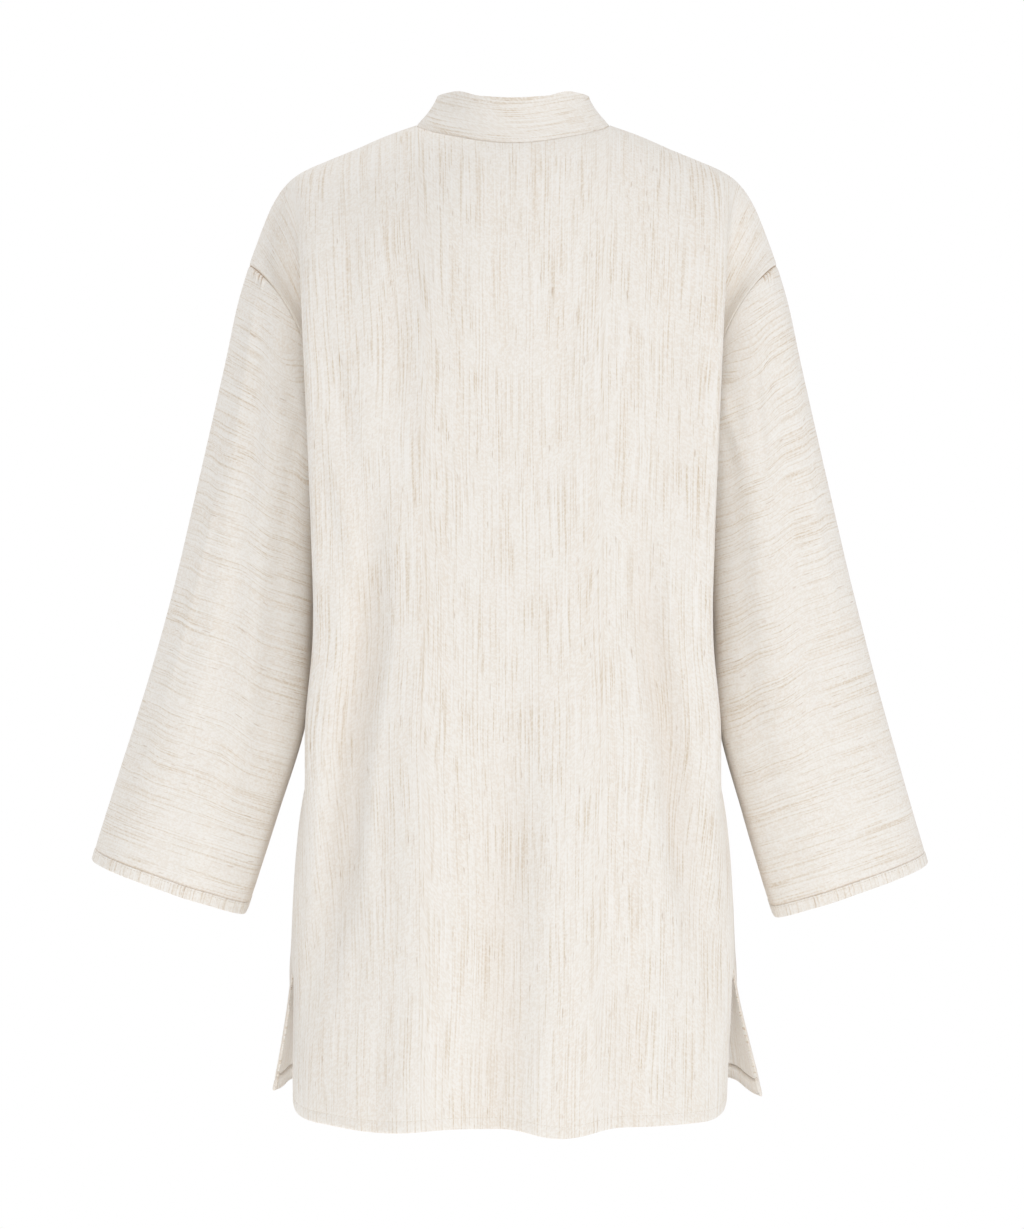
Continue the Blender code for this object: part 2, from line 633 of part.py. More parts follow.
def seam_ring(side):
    """The sleeve's first ring, which runs straight from one row of the panels to the next."""
    turns = seam_turns()
    points = np.array([sleeve_base(0, turn) for turn in turns + turns[:1]])
    ways = np.array([armhole_normal(turn if turn <= 1 else turn - 2) for turn in turns + turns[:1]])
    shares = [chord_share(turn) for turn, _ in ring_turns(side)]
    between = [points[i] * (1 - share) + points[i + 1] * share for i, share in shares]
    normals = [unit(ways[i] * (1 - share) + ways[i + 1] * share) for i, share in shares]
    return np.array(between) * (side, 1, 1), np.array(normals) * (side, 1, 1)


def cuff_ring():
    """The place along the sleeve where the binding starts."""
    run = np.linalg.norm(sleeve_base(CUFF, 0.0) - sleeve_base(CUFF - 1, 0.0))
    return CUFF - BINDING / run


def make_sleeve(side, name):
    grid, normals = sleeve_rings(side, [*RING_STEPS, cuff_ring()])
    seam, normals[0] = seam_ring(side)
    along = np.roll(seam, -1, axis=0) - np.roll(seam, 1, axis=0)
    away = unit(np.cross(normals[0], along))
    away *= np.sign(np.sum(away * (grid[1] - seam), axis=1, keepdims=True))
    grid[0] = seam + away * SEAM_GAP
    faces = sheet_faces(round_index(grid.shape[:2]), flip=side == RIGHT)
    cloth_solid(name, faces, grid.reshape(-1, 3), (grid - normals * WALL).reshape(-1, 3))


def make_cuff_binding(side, name):
    """The narrow strip that finishes the sleeve's mouth."""
    start = cuff_ring()
    grid, normals = sleeve_rings(side, [start - 0.1, start, (start + CUFF) / 2, CUFF])
    grid, normals = grid[1:], normals[1:]
    grid[0] += unit(grid[1] - grid[0]) * SEAM_GAP
    outer = (grid + normals * 0.3).reshape(-1, 3)
    inner = (grid - normals * (WALL + 0.4)).reshape(-1, 3)
    cloth_solid(name, sheet_faces(round_index(grid.shape[:2]), flip=side == RIGHT), outer, inner)


def make_collar():
    grid, normals = collar_grid()
    index = np.arange(grid[..., 0].size).reshape(grid.shape[:2])
    inner = (grid - normals * WALL).reshape(-1, 3)
    cloth_solid("collar", sheet_faces(index, flip=False), grid.reshape(-1, 3), inner)


clear_scene()
tunic = bpy.data.collections.new("tunic")
bpy.context.scene.collection.children.link(tunic)
make_panel(BACK, "back")
make_panel(FRONT, "front")
make_collar()
for side, word in ((LEFT, "left"), (RIGHT, "right")):
    make_sleeve(side, f"sleeve_{word}")
    make_cuff_binding(side, f"cuff_binding_{word}")
    make_slit_facing(side, f"slit_facing_{word}")
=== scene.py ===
# %% [markdown]
# # A loose linen tunic, seen from behind
# The tunic is a straight back and front, two wide sleeves, a stand collar, a binding round each sleeve's
# mouth and a facing beside each side slit of the front. It hangs filled out, as on a body, with nothing
# inside it.
#
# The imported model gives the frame: thick, plain walls in the right places. Each wall is replaced here by
# the cloth itself: a thin sheet on the same form, with its finer folds, its turned edges, its stitches
# and its weave.

# %% Load the frame
import math

import bpy
import numpy as np
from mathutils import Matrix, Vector


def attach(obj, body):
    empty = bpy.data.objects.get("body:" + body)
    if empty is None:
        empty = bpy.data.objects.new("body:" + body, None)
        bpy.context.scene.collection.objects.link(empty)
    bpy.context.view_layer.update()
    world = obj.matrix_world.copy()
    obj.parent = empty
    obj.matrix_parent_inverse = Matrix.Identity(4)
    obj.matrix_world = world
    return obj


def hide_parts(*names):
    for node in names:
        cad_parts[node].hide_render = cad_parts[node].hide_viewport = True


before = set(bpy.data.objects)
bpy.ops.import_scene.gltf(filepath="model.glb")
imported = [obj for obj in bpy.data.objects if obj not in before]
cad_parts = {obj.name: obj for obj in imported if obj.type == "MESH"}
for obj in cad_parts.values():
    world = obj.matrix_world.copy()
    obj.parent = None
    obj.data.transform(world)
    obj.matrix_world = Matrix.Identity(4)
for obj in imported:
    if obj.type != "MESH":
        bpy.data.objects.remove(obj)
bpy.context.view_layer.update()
bpy.ops.object.select_all(action="DESELECT")
print("nodes in the frame:", ", ".join(sorted(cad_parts)))

# %% [markdown]
# ## The sizes of the cut
# Lengths are in millimetres until a mesh is made. The origin is the middle of the neck at the height of
# the inner ends of the shoulder seams, +X is the wearer's left, -Y the wearer's front.
#
# A piece of cloth could be modelled by eye in sculpt mode, but two pieces that are sewn together have to
# share their seam exactly. So every piece is worked out from one description of the garment: "cloth" says
# how far a straight grain line is from the panel's middle, and tables say where that line runs.

# %% Sizes
MM = 0.001
BACK, FRONT = 1, -1  # the sign of Y
LEFT, RIGHT = 1, -1  # the sign of X
SIDES = ((LEFT, "left"), (RIGHT, "right"))

UNDERARM_Z = -270.0
SLIT_TOP_Z = -696.0
HEM_Z = {BACK: -820.5, FRONT: -801.0}
CORNERS = {  # how far out and how far down each lower corner beside a slit hangs: below 0 is in and up
    (BACK, LEFT): (-1.6, -10.4), (BACK, RIGHT): (-1.6, -12.4),
    (FRONT, LEFT): (-2.5, 4.0), (FRONT, RIGHT): (4.5, 9.0),
}
CORNER_WIDTH = {BACK: 95.0, FRONT: 75.0}
CORNER_TIP = {BACK: 5.0, FRONT: 0.0}  # how much higher the last stretch of the hem bends up
CORNER_TIP_WIDTH = 26.0
CORNER_START = {BACK: 0.14, FRONT: 1.0}  # the share of the slit's length over which the edge goes out
SLIT_KICK = {BACK: -2.0, FRONT: 4.0}  # how early the edge swings out below the top of the slit
SLIT_FLARE = {BACK: 0.0, FRONT: 5.0}  # how far the cloth beside the edge bends in
FLARE_START, FLARE_FULL, FLARE_EDGE = 195.0, 240.0, 251.0  # where it begins, is full and starts to end
HEM_SWAY = {BACK: 2.6, FRONT: 0.3}  # how far the hem hangs over to the wearer's left
HEM_SWAY_LENGTH = 120.0  # over what length below the top of the slits it grows
CUFF_SWAY = {LEFT: (2.6, -0.8), RIGHT: (2.6, -3.6)}  # to the wearer's left and up, for each cuff
CUFF_SWAY_RING = 5  # from which ring down that grows
CORNER_RADIUS = {BACK: 4.5, FRONT: 3.5}
# place in the cloth, half the width and the depth of each dip of the hem
HEM_DIPS = {BACK: ((118.0, 75.0, 4.5), (-46.0, 56.0, 7.0)), FRONT: ((70.0, 60.0, 4.0), (-62.0, 64.0, 5.0))}

NECK_HALF = 80.0
NECK_CUT = {BACK: 0.30, FRONT: 0.46}  # the share of the middle grain line that the neck cuts off
COLLAR_TOP_HALF = 63.0
COLLAR_TOP_DEPTH = {BACK: 51.0, FRONT: 70.0}
COLLAR_RISE = {BACK: 38.0, FRONT: 36.0}
COLLAR_RISE_SIDE = 26.5
COLLAR_HOLLOW = 2.2  # how far the band bends in half way up
COLLAR_CORNER = 8.0  # the radius of its front corners
COLLAR_GAP_HALF = 9.0
COLLAR_WAVE = 3.4  # how much higher the top edge stands on either side of the nape
COLLAR_WAVE_AT, COLLAR_WAVE_HALF = 0.72, 0.30  # where that is, from the nape at 0 to the side at 1
COLLAR_ROUND = 2.2  # how much lower it lies where the band turns to the front
COLLAR_ROUND_AT, COLLAR_ROUND_WIDTH = 0.9, 0.1
NECK_SLIT_END_Z = -222.0
NECK_SLIT_HALF = 5.0
NECK_SLIT_EASE = 60.0  # how far from the slit the cloth still gives way to it

PANEL_HALF = 270.0
EDGE_LINE = 180.0
GRAIN_LINES = (0.0, 45.0, NECK_HALF, 135.0, EDGE_LINE, 207.0, 237.0, PANEL_HALF)
print("grain lines at", GRAIN_LINES)

# %% [markdown]
# The shoulder line runs from the middle of the neck over the arm to the top of the sleeve seam. The
# sections of the torso say where each grain line passes at one height: the middle of the panel, the edge
# where the cloth turns in beside the arm, the fold behind it, and the side seam. The yoke table says how
# each grain line leaves the shoulder and how it arrives at the chest. The last table gives the rings of a
# sleeve.

# %% Tables
SHOULDER_LINE = (  # x and z
    (0.0, 14.0), (40.0, 11.5), (80.0, 0.0), (105.0, -8.7), (130.0, -19.5), (155.0, -30.0), (172.0, -37.5),
    (184.5, -45.0), (194.0, -55.0), (201.0, -66.5), (208.0, -83.0), (214.0, -100.0), (220.0, -118.0),
)
# z, middle, then x and y of the edge, the fold, the inner point and the side seam
TORSO = {
    BACK: (
        (-270.0, 106, 167.0, 84, 150.0, 54, 147.0, 27, 149.0, 0),
        (-345.0, 107, 164.0, 84, 147.0, 54, 144.0, 27, 145.0, 0),
        (-425.0, 108, 162.5, 82, 149.0, 54, 146.0, 27, 146.0, 0),
        (-505.0, 110, 168.5, 77, 163.0, 50, 161.0, 26, 161.0, 0),
        (-575.0, 113, 165.0, 74, 174.0, 50, 176.0, 25, 176.0, 0),
        (-640.0, 116, 163.0, 74, 177.0, 51, 181.5, 26, 182.0, 0),
        (-696.0, 118, 162.0, 74, 177.0, 52, 182.5, 26, 183.5, 0),
        (-825.0, 122, 160.0, 74, 174.0, 52, 180.0, 27, 182.0, 3),
    ),
    FRONT: (
        (-270.0, 126, 167.0, 94, 150.0, 60, 147.0, 30, 149.0, 0),
        (-345.0, 129, 164.0, 95, 147.0, 60, 144.0, 30, 145.0, 0),
        (-425.0, 128, 162.5, 93, 149.0, 60, 146.0, 30, 146.0, 0),
        (-505.0, 128, 168.5, 86, 163.0, 55, 161.0, 28, 161.0, 0),
        (-575.0, 129, 167.0, 82, 175.0, 54, 177.0, 27, 176.0, 0),
        (-640.0, 131, 165.0, 82, 178.5, 55, 184.0, 28, 182.0, 0),
        (-696.0, 132, 165.0, 82, 180.0, 56, 187.0, 29, 183.5, 0),
        (-825.0, 136, 172.0, 85, 192.0, 61, 203.0, 36, 207.0, 8),
    ),
}
FLAT_PART = (-45.0, 0.0, 45.0, 90.0, 135.0, 160.0, EDGE_LINE)
FLAT_POWER = 3.0  # how late the panel bends away from its flat middle
# across, out and down as a grain line leaves the shoulder, then across, out and up as it arrives at the chest
YOKE = {
    BACK: (
        (0, 85, 6, 0, 0, 150),
        (0, 80, 8, 0, 0, 150),
        (1, 68, 10, 0, 0, 145),
        (3, 57, 12, 0, 0, 134),
        (4, 46, 7, 5, 4, 120),
        (-9, 34, 10, -6, 0, 104),
        (-3, 44, 12, 2, 20, 96),
    ),
    FRONT: (
        (0, 58, 8, 0, -8, 120),
        (0, 59, 10, 0, -10, 122),
        (1, 54, 16, 0, -14, 124),
        (3, 47, 20, 0, -12, 122),
        (4, 42, 10, 4, -8, 110),
        (-9, 32, 12, -6, -6, 100),
        (-3, 42, 13, 2, 18, 96),
    ),
}
# x and z of the outer line, x and z of the inner line, half the depth, the middle's y, how late the ring drops
SLEEVE = (
    (220.0, -118.0, 149.0, -270.0, 50.0, 0.0, 1.25),
    (229.0, -150.0, 154.0, -277.0, 56.0, -1.0, 1.0),
    (238.5, -195.0, 159.0, -289.0, 59.5, -2.5, 0.75),
    (251.0, -250.0, 162.5, -311.0, 60.5, -4.5, 0.45),
    (265.0, -310.0, 165.0, -349.0, 60.0, -7.0, 0.2),
    (283.0, -385.0, 168.0, -420.0, 58.5, -11.0, 0.0),
    (303.5, -460.0, 173.0, -497.0, 56.5, -15.0, 0.0),
    (327.5, -538.0, 196.0, -577.0, 53.0, -20.0, 0.0),
    (350.5, -611.5, 220.5, -655.0, 49.0, -25.0, 0.0),
)
CUFF = len(SLEEVE) - 1
CUFF_LEAN = 0.07
SLEEVE_FLATNESS = (0.72, 0.30)  # outer and inner half: 1 gives round sections, and less gives flatter ones
FLATTER_FROM = 0.35  # how far inwards the inner half's flatness sets in
FLAT_BY_RING = 1.6  # the first rings are rounder, because the armhole is
print("the sleeve has", len(SLEEVE), "rings and the back", len(TORSO[BACK]), "sections")

# %% [markdown]
# ## A little arithmetic
# Everything is worked out for thousands of points at once with numpy. `smooth` draws the curve through a
# few known values, `ramp` rises softly from 0 to 1, and `bump` is a soft hill: a fold is a bump pushed
# along a line.

# %% Arithmetic
def unit(vectors):
    return vectors / np.maximum(np.linalg.norm(vectors, axis=-1, keepdims=True), 1e-9)


def ramp(value):
    value = np.clip(value, 0.0, 1.0)
    return value * value * (3 - 2 * value)


def bump(distance, half_width):
    return np.cos(np.clip(np.abs(distance) / half_width, 0.0, 1.0) * math.pi / 2) ** 2


def smooth(knots, values, at):
    """The cubic through values at the knots: one row of them for each knot, or a set of rows for each point."""
    knots, values = np.asarray(knots, float), np.asarray(values, float)
    slopes = np.gradient(values, knots, axis=-2)
    i = np.clip(np.searchsorted(knots, at) - 1, 0, len(knots) - 2)
    span = (knots[i + 1] - knots[i])[:, None]
    s = np.clip((at - knots[i])[:, None] / span, 0.0, 1.0)

    def pick(rows, k):
        return rows[k] if rows.ndim == 2 else rows[np.arange(len(at)), k]

    near = pick(values, i) * (1 + 2 * s) + pick(slopes, i) * span * s
    far = pick(values, i + 1) * (3 - 2 * s) - pick(slopes, i + 1) * span * (1 - s)
    return near * (1 - s) ** 2 + far * s * s


print("half way up a ramp:", float(ramp(0.5)))

# %% [markdown]
# ## The form of the body and the sleeves
# A sleeve is a tube of rings. Its first ring is the armhole seam, so the body's outermost grain line is
# that ring. The yoke is spanned by curved grain lines that hang from the shoulder line. The neck is cut
# out of it afterwards, as a tailor cuts it out of the flat cloth.

# %% The sleeve's form
def sleeve_points(ring, turn):
    """Points of the left sleeve. turn is in half turns from the outer line, above 0 at the back."""
    sections = smooth(np.arange(len(SLEEVE)), SLEEVE, ring)
    outer_x, outer_z, inner_x, inner_z, half_depth, middle_y, late = sections.T
    share = (1 - np.cos(math.pi * turn)) / 2
    round_share = np.sin(math.pi * turn)
    outer_flatness, inner_flatness = SLEEVE_FLATNESS
    flattest = outer_flatness + (inner_flatness - outer_flatness) * ramp(2 * (share - FLATTER_FROM))
    flatness = 1 + (flattest - 1) * ramp(ring / FLAT_BY_RING)
    depth = half_depth * np.sign(round_share) * np.abs(round_share) ** flatness
    fall = share ** (1 + late * (0.3 + share))  # above 1, a ring stays high on the shoulder and drops later
    x = outer_x + (inner_x - outer_x) * share
    z = outer_z + (inner_z - outer_z) * fall - CUFF_LEAN * ramp(ring / CUFF) * depth
    return np.column_stack((x, middle_y + depth, z))


def lengths_along(points):
    """How far each point of a line is from its first."""
    return np.concatenate(([0.0], np.cumsum(np.linalg.norm(np.diff(points, axis=0), axis=1))))


outer_line = lengths_along(sleeve_points(np.linspace(0, CUFF, 50), np.zeros(50)))
print(f"the sleeve's outer line is {outer_line[-1]:.0f} mm long")

# %% The body's form
SHOULDER_PULL, CHEST_PULL = 0.45, 0.60  # the shares of the yoke that are drawn to what is above and below it


def shoulder_points(cloth):
    along = lengths_along(np.array(SHOULDER_LINE))
    x, z = smooth(along, SHOULDER_LINE, np.abs(cloth) / PANEL_HALF * along[-1]).T
    return np.column_stack((np.where(cloth < 0, -x, x), np.zeros(len(x)), z))


def torso_points(face, cloth, z):
    """Points of a panel's sections, which run on into the other panel's at the side seam."""
    own, other = np.array(TORSO[face]), np.array(TORSO[-face])
    section = smooth(-own[:, 0], own[:, 1:], -z)
    middle, edge_x, edge_y, fold_x, fold_y, inner_x, inner_y, side_x, side_y = section.T
    beyond = smooth(-other[:, 0], other[:, 1:], -np.maximum(z, SLIT_TOP_Z))
    x = [edge_x * flat / EDGE_LINE for flat in FLAT_PART] + [fold_x, inner_x, side_x, beyond[:, 5]]
    y = [middle - (middle - edge_y) * abs(flat / EDGE_LINE) ** FLAT_POWER for flat in FLAT_PART]
    y += [fold_y, inner_y, side_y, -beyond[:, 6]]
    knots = [*FLAT_PART, *GRAIN_LINES[5:], 2 * PANEL_HALF - GRAIN_LINES[6]]
    x, y = smooth(knots, np.stack((np.column_stack(x), np.column_stack(y)), axis=2), cloth).T
    return np.column_stack((x, face * y, z))


def grain_curve(face, index, t):
    """One of the table's grain lines, from the shoulder line at 0 to the underarm's height at 1."""
    cloth = np.array([GRAIN_LINES[index]])
    if index == len(GRAIN_LINES) - 1:
        return sleeve_points(np.zeros(len(t)), face * t)
    across, out, down, across_2, out_2, up = YOKE[face][index]
    start = shoulder_points(cloth)
    end = torso_points(face, cloth, np.array([UNDERARM_Z]))
    t = t[:, None]
    a, b = start * (1 - t) ** 3, (start + (across, face * out, -down)) * 3 * t * (1 - t) ** 2
    return a + b + (end + (across_2, face * out_2, up)) * 3 * t * t * (1 - t) + end * t**3


def yoke_points(face, cloth, t):
    """Points of the sheet above the underarm, before the neck is cut out of it."""
    knots = np.array([-GRAIN_LINES[1], *GRAIN_LINES])
    lines = [grain_curve(face, index, t) for index in range(len(GRAIN_LINES))]
    points = smooth(knots, np.stack([lines[1] * (-1, 1, 1), *lines], axis=1), cloth)
    carried = smooth(knots, shoulder_points(knots), cloth)
    points = points + (shoulder_points(cloth) - carried) * (1 - ramp(t / SHOULDER_PULL))[:, None]
    below = torso_points(face, cloth, np.full(len(cloth), UNDERARM_Z))
    carried = smooth(knots, torso_points(face, knots, np.full(len(knots), UNDERARM_Z)), cloth)
    return points + (below - carried) * ramp((t - (1 - CHEST_PULL)) / CHEST_PULL)[:, None]


def neck_start(face, cloth):
    return NECK_CUT[face] * np.sqrt(np.maximum(1 - (cloth / NECK_HALF) ** 2, 0.0))


def neck_middle_z(face):
    return yoke_points(face, np.zeros(1), np.array([NECK_CUT[face]]))[0, 2]


print("the back's neck seam is at z =", neck_middle_z(BACK).round())

# %% [markdown]
# ## The folds
# Linen hangs in long, soft folds that never repeat, so each one is listed one by one: where it starts and
# ends, its place in the cloth at the top, half way and at the bottom, half its width, and its height,
# which is below 0 for a trough. The first rows are the large folds of the solids. The rest are smaller:
# creases that run from the armholes, slack below the yoke, drag lines above the slits, and light ripples
# towards the hem.

# %% The folds of the panels
FOLDS = {
    BACK: (
        (-262, -775, 124, 142, 190, 28, -13.0), (-270, -730, -108, -136, -178, 27, -12.0),
        (-400, -1000, 4, 10, 14, 42, -9.0), (-330, -1000, 74, 82, 92, 42, 5.0),
        (-420, -1000, -40, -46, -54, 42, 6.0), (-600, -1000, -92, -106, -122, 30, -5.0),
        (-60, -330, 92, 98, 104, 32, -3.0), (-110, -360, -132, -142, -146, 30, -4.0),
        (-150, -300, 168, 150, 138, 13, -1.6), (-205, -395, 172, 156, 134, 15, 1.4),
        (-300, -470, 160, 150, 140, 12, -1.3), (-170, -330, -170, -156, -142, 14, -1.5),
        (-260, -440, -166, -152, -136, 13, 1.3), (-90, -250, 30, 36, 48, 26, 1.0),
        (-120, -330, -52, -46, -34, 30, -1.1), (-470, -640, 118, 126, 130, 14, 1.2),
        (-560, -760, 150, 140, 146, 15, -1.7), (-640, -815, 176, 168, 158, 12, 1.2),
        (-520, -700, -128, -134, -150, 14, 1.3), (-620, -800, -166, -152, -148, 15, -1.6),
        (-650, -1000, 44, 40, 36, 20, -1.8), (-690, -1000, -24, -22, -20, 18, 1.5),
        (-660, -1000, -68, -72, -78, 17, 1.6), (-700, -1000, 118, 122, 126, 20, -1.7),
    ),
    FRONT: (
        (-250, -1000, 96, 116, 140, 34, -9.0), (-240, -1000, -90, -112, -128, 38, -10.0),
        (-300, -1000, 44, 54, 62, 44, 9.0), (-320, -1000, -34, -44, -50, 42, 7.0),
        (-380, -1000, 4, 2, 0, 40, -8.0), (-140, -300, 166, 150, 136, 14, -1.8),
        (-210, -400, 170, 152, 132, 15, 1.5), (-160, -330, -168, -150, -134, 15, -1.7),
        (-250, -430, -172, -156, -138, 13, 1.4), (-230, -420, 70, 76, 78, 20, -1.6),
        (-236, -390, -58, -66, -70, 22, -1.4), (-500, -700, 150, 146, 152, 16, -1.8),
        (-540, -760, -152, -148, -156, 17, -1.7), (-620, -1000, 88, 94, 98, 18, 1.7),
        (-650, -1000, -82, -88, -92, 20, 1.6), (-640, -1000, 24, 26, 28, 18, -1.7),
    ),
}
FOLD_EASE = 0.4  # the share of a fold's length over which it grows or dies away


def fold_height(face, cloth, z):
    """How far the folds push the cloth out. cloth is below 0 on the wearer's right."""
    height = np.zeros(len(z))
    for top, bottom, first, middle, last, half_width, high in FOLDS[face]:
        down = np.clip((top - z) / (top - bottom), 0.0, 1.0)
        up = 1 - down
        place = first * up * (up - down) + middle * 4 * up * down + last * down * (down - up)
        height += high * ramp(down / FOLD_EASE) * ramp(up / FOLD_EASE) * bump(cloth - place, half_width)
    return height


print(len(FOLDS[BACK]), "folds in the back and", len(FOLDS[FRONT]), "in the front")

# %% [markdown]
# ## Making a sheet of cloth
# Every piece is a grid of points. `grid_mesh` turns one into a mesh, with a UV map in metres of cloth, so
# that the weave follows the grain: U runs across the slub yarns and V along them. The Solidify modifier
# then gives the sheet its thickness, inwards, so that the outer face stays where it is.

# %% Grids and sheets
LINEN_THICKNESS = 0.7


def grid_normals(grid, closed=False):
    """Unit normals of a grid of points. A closed grid joins its last column to its first."""
    if closed:
        across = np.roll(grid, -1, axis=1) - np.roll(grid, 1, axis=1)
    else:
        across = np.gradient(grid, axis=1)
    return unit(np.cross(np.gradient(grid, axis=0), across))


def distance_along(grid, axis):
    """How far each point is along its row or column."""
    steps = np.linalg.norm(np.diff(grid, axis=axis), axis=2)
    first = np.zeros_like(np.take(steps, [0], axis=axis))
    return np.concatenate((first, np.cumsum(steps, axis=axis)), axis=axis)


def new_piece(name, points, faces):
    mesh = bpy.data.meshes.new(name)
    mesh.from_pydata((points.reshape(-1, 3) * MM).tolist(), [], faces)
    mesh.shade_smooth()
    piece = bpy.data.objects.new(name, mesh)
    bpy.context.scene.collection.objects.link(piece)
    return piece


def grid_mesh(name, grid, uv, outwards, closed=False, skip_column=None, painted_shade_and_hem_line=None):
    """A mesh of four-sided faces through the grid. outwards says if its rows, going down, face outwards."""
    rows, columns = grid.shape[:2]
    index = np.arange(rows * columns).reshape(rows, columns)
    across = np.arange(columns if closed else columns - 1)
    across = across[across != skip_column] if skip_column is not None else across
    a, b = index[:-1][:, across], index[1:][:, across]
    c, d = index[1:][:, (across + 1) % columns], index[:-1][:, (across + 1) % columns]
    faces = np.stack((a, b, c, d), axis=-1).reshape(-1, 4)
    last = uv.shape[1] - 1  # a closed grid's UV map has one column more, so that it doesn't jump back
    corners = [uv[:-1][:, across], uv[1:][:, across]]
    corners += [uv[1:][:, np.minimum(across + 1, last)], uv[:-1][:, np.minimum(across + 1, last)]]
    loops = np.stack(corners, axis=2).reshape(-1, 4, 2)
    if not outwards:
        faces, loops = faces[:, ::-1], loops[:, ::-1]
    piece = new_piece(name, grid, faces.tolist())
    piece.data.uv_layers.new(name="cloth").data.foreach_set("uv", (loops * MM).ravel())
    if painted_shade_and_hem_line is not None:  # painted shade in seams, gather hollows, fold troughs and beside the body, and a brownish line at the turned hem's stitched edge, for the colour
        attribute = piece.data.attributes.new("painted_shade_and_hem_line", "FLOAT", "POINT")
        attribute.data.foreach_set("value", painted_shade_and_hem_line.astype(np.float32).ravel())
    return piece


def select_only(piece):
    bpy.ops.object.select_all(action="DESELECT")
    piece.select_set(True)
    bpy.context.view_layer.objects.active = piece


def merge_doubles(piece):
    select_only(piece)
    bpy.ops.object.mode_set(mode="EDIT")
    bpy.ops.mesh.select_all(action="SELECT")
    bpy.ops.mesh.remove_doubles(threshold=0.01 * MM)
    bpy.ops.object.mode_set(mode="OBJECT")


def thicken(piece, thickness=LINEN_THICKNESS):
    """Gives a sheet its thickness, behind its outer face."""
    select_only(piece)
    modifier = piece.modifiers.new("thickness", "SOLIDIFY")
    modifier.thickness = thickness * MM
    modifier.offset = -1
    bpy.ops.object.modifier_apply(modifier=modifier.name)
    piece.data.shade_smooth()
    print(piece.name, "has", len(piece.data.polygons), "faces")
    return piece


print("linen", LINEN_THICKNESS, "mm thick")

# %% [markdown]
# ## The panels
# The panel's grid is finest where it is sewn or turned: a seam is a narrow valley, because both cloths
# dip into it and run on inwards as the seam allowance, and a hem is the sheet itself, folded round its
# edge and carried 10 mm up again on the inside. A stitch line presses a shallow groove into the cloth.

# %% Where the panel has its grain lines and its rows
GRID_PITCH = 4.2
EDGE_STEPS = np.array((0, 0.12, 0.35, 0.7, 1.2, 2.1, 3.2, 4.2, 5.0, 5.8, 7.0, 8.0, 9.0, 12.0, 15.5))
NO_STEPS = np.zeros(1)
SEAM_ROLL = 1.3  # the radius with which the cloth rolls into a seam
SEAM_HOLLOW = 0.5  # the soft valley beside it
SEAM_WIDTH = 5.0
SEAM_REACH = 6.0  # how far from a seam the cloth still turns towards it
ALLOWANCE = 3.6  # how far the cut edge runs inwards past the seam
HEM_STEPS = np.array((0, 0.6, 1.5, 3.0, 5.0, 7.0, 7.9, 8.5, 9.1, 10.0, 12.0, 15.0))
HEM_STITCH = 8.5
SLIT_STITCH = {BACK: 5.0, FRONT: 8.0}
GROOVE, GROOVE_WIDTH = 0.28, 1.3


def graded(start, end, pitch, first_steps, last_steps):
    """Places from start to end: fine steps at the ends, and the pitch between them."""
    low, high = start + first_steps[-1], end - last_steps[-1]
    middle = np.linspace(low, high, max(int(round((high - low) / pitch)), 2) + 1)[1:-1]
    return np.concatenate((start + first_steps, middle, (end - last_steps)[::-1]))


NECK_COLUMNS = NECK_HALF * np.sin(np.linspace(0, math.pi / 2, 23))
SIDE_COLUMNS = graded(NECK_HALF, PANEL_HALF, GRID_PITCH, NO_STEPS, EDGE_STEPS)
HALF_COLUMNS = np.concatenate((NECK_COLUMNS[:-1], SIDE_COLUMNS))
YOKE_LENGTH = 300.0
YOKE_ROWS = graded(0.0, YOKE_LENGTH, GRID_PITCH, EDGE_STEPS[:10], NO_STEPS)[:-1] / YOKE_LENGTH
TORSO_ROWS = np.linspace(UNDERARM_Z, SLIT_TOP_Z, 96)[:-1]
print(2 * len(HALF_COLUMNS) - 1, "grain lines in a panel")


def seam_dip(distance, roll=SEAM_ROLL, hollow=SEAM_HOLLOW):
    """How deep the cloth lies at this distance from a seam: a quarter circle in a soft valley."""
    inside = np.clip(roll - distance, 0.0, roll)
    return roll - np.sqrt(roll**2 - inside**2) + hollow * (1 - ramp(distance / SEAM_WIDTH))


def turn_to(normals, shared, distance, where=True):
    """Turns the ways out of the cloth to the shared ones close to a seam."""
    weight = ((1 - ramp(distance / SEAM_REACH)) * where)[..., None]
    return unit(normals * (1 - weight) + shared * weight)


# %% The painted shade in seams, folds and hollows
# the width of the painted shade along a seam's crevice
SEAM_SHADE_WIDTH = 0.9
ARMHOLE_SHADE = ((0.0, 0.12, 0.30, 0.38, 1.0), (0.3, 0.6, 0.55, 0.12, 0.1))  # place round the armhole, and the painted shade in its seam
# painted shade in the neck, side and cuff seams and in the gathers' hollows; HEM_SHADE is a brownish line at the
# turned hem's stitched edge
NECK_SHADE, SIDE_SHADE, CUFF_SHADE, GATHER_SHADE, HEM_SHADE = 0.30, 0.30, 0.45, 1.0, 0.30
FOLD_SHADE, FOLD_DEEP = 0.10, 12.0  # painted warm shade in the hollow of a fold, full at this depth
SLIT_SHADE = 0.13  # painted warm shade on the front's inside behind the slits
SLIT_SHADE_START, SLIT_SHADE_WIDTH, SLIT_SHADE_RISE = 190.0, 30.0, 10.0


# painted shade along a seam's crevice
def seam_shade(distance, strength):
    return strength * np.exp(-((distance / SEAM_SHADE_WIDTH) ** 2))


def armhole_shade(turns):
    return np.interp(np.abs(turns), *ARMHOLE_SHADE)

# %% The panels' outer faces
def near_edge(cloth, width):
    """1 at the panel's edge, and 0 from this width inwards."""
    return ramp(1 - (PANEL_HALF - cloth) / width)


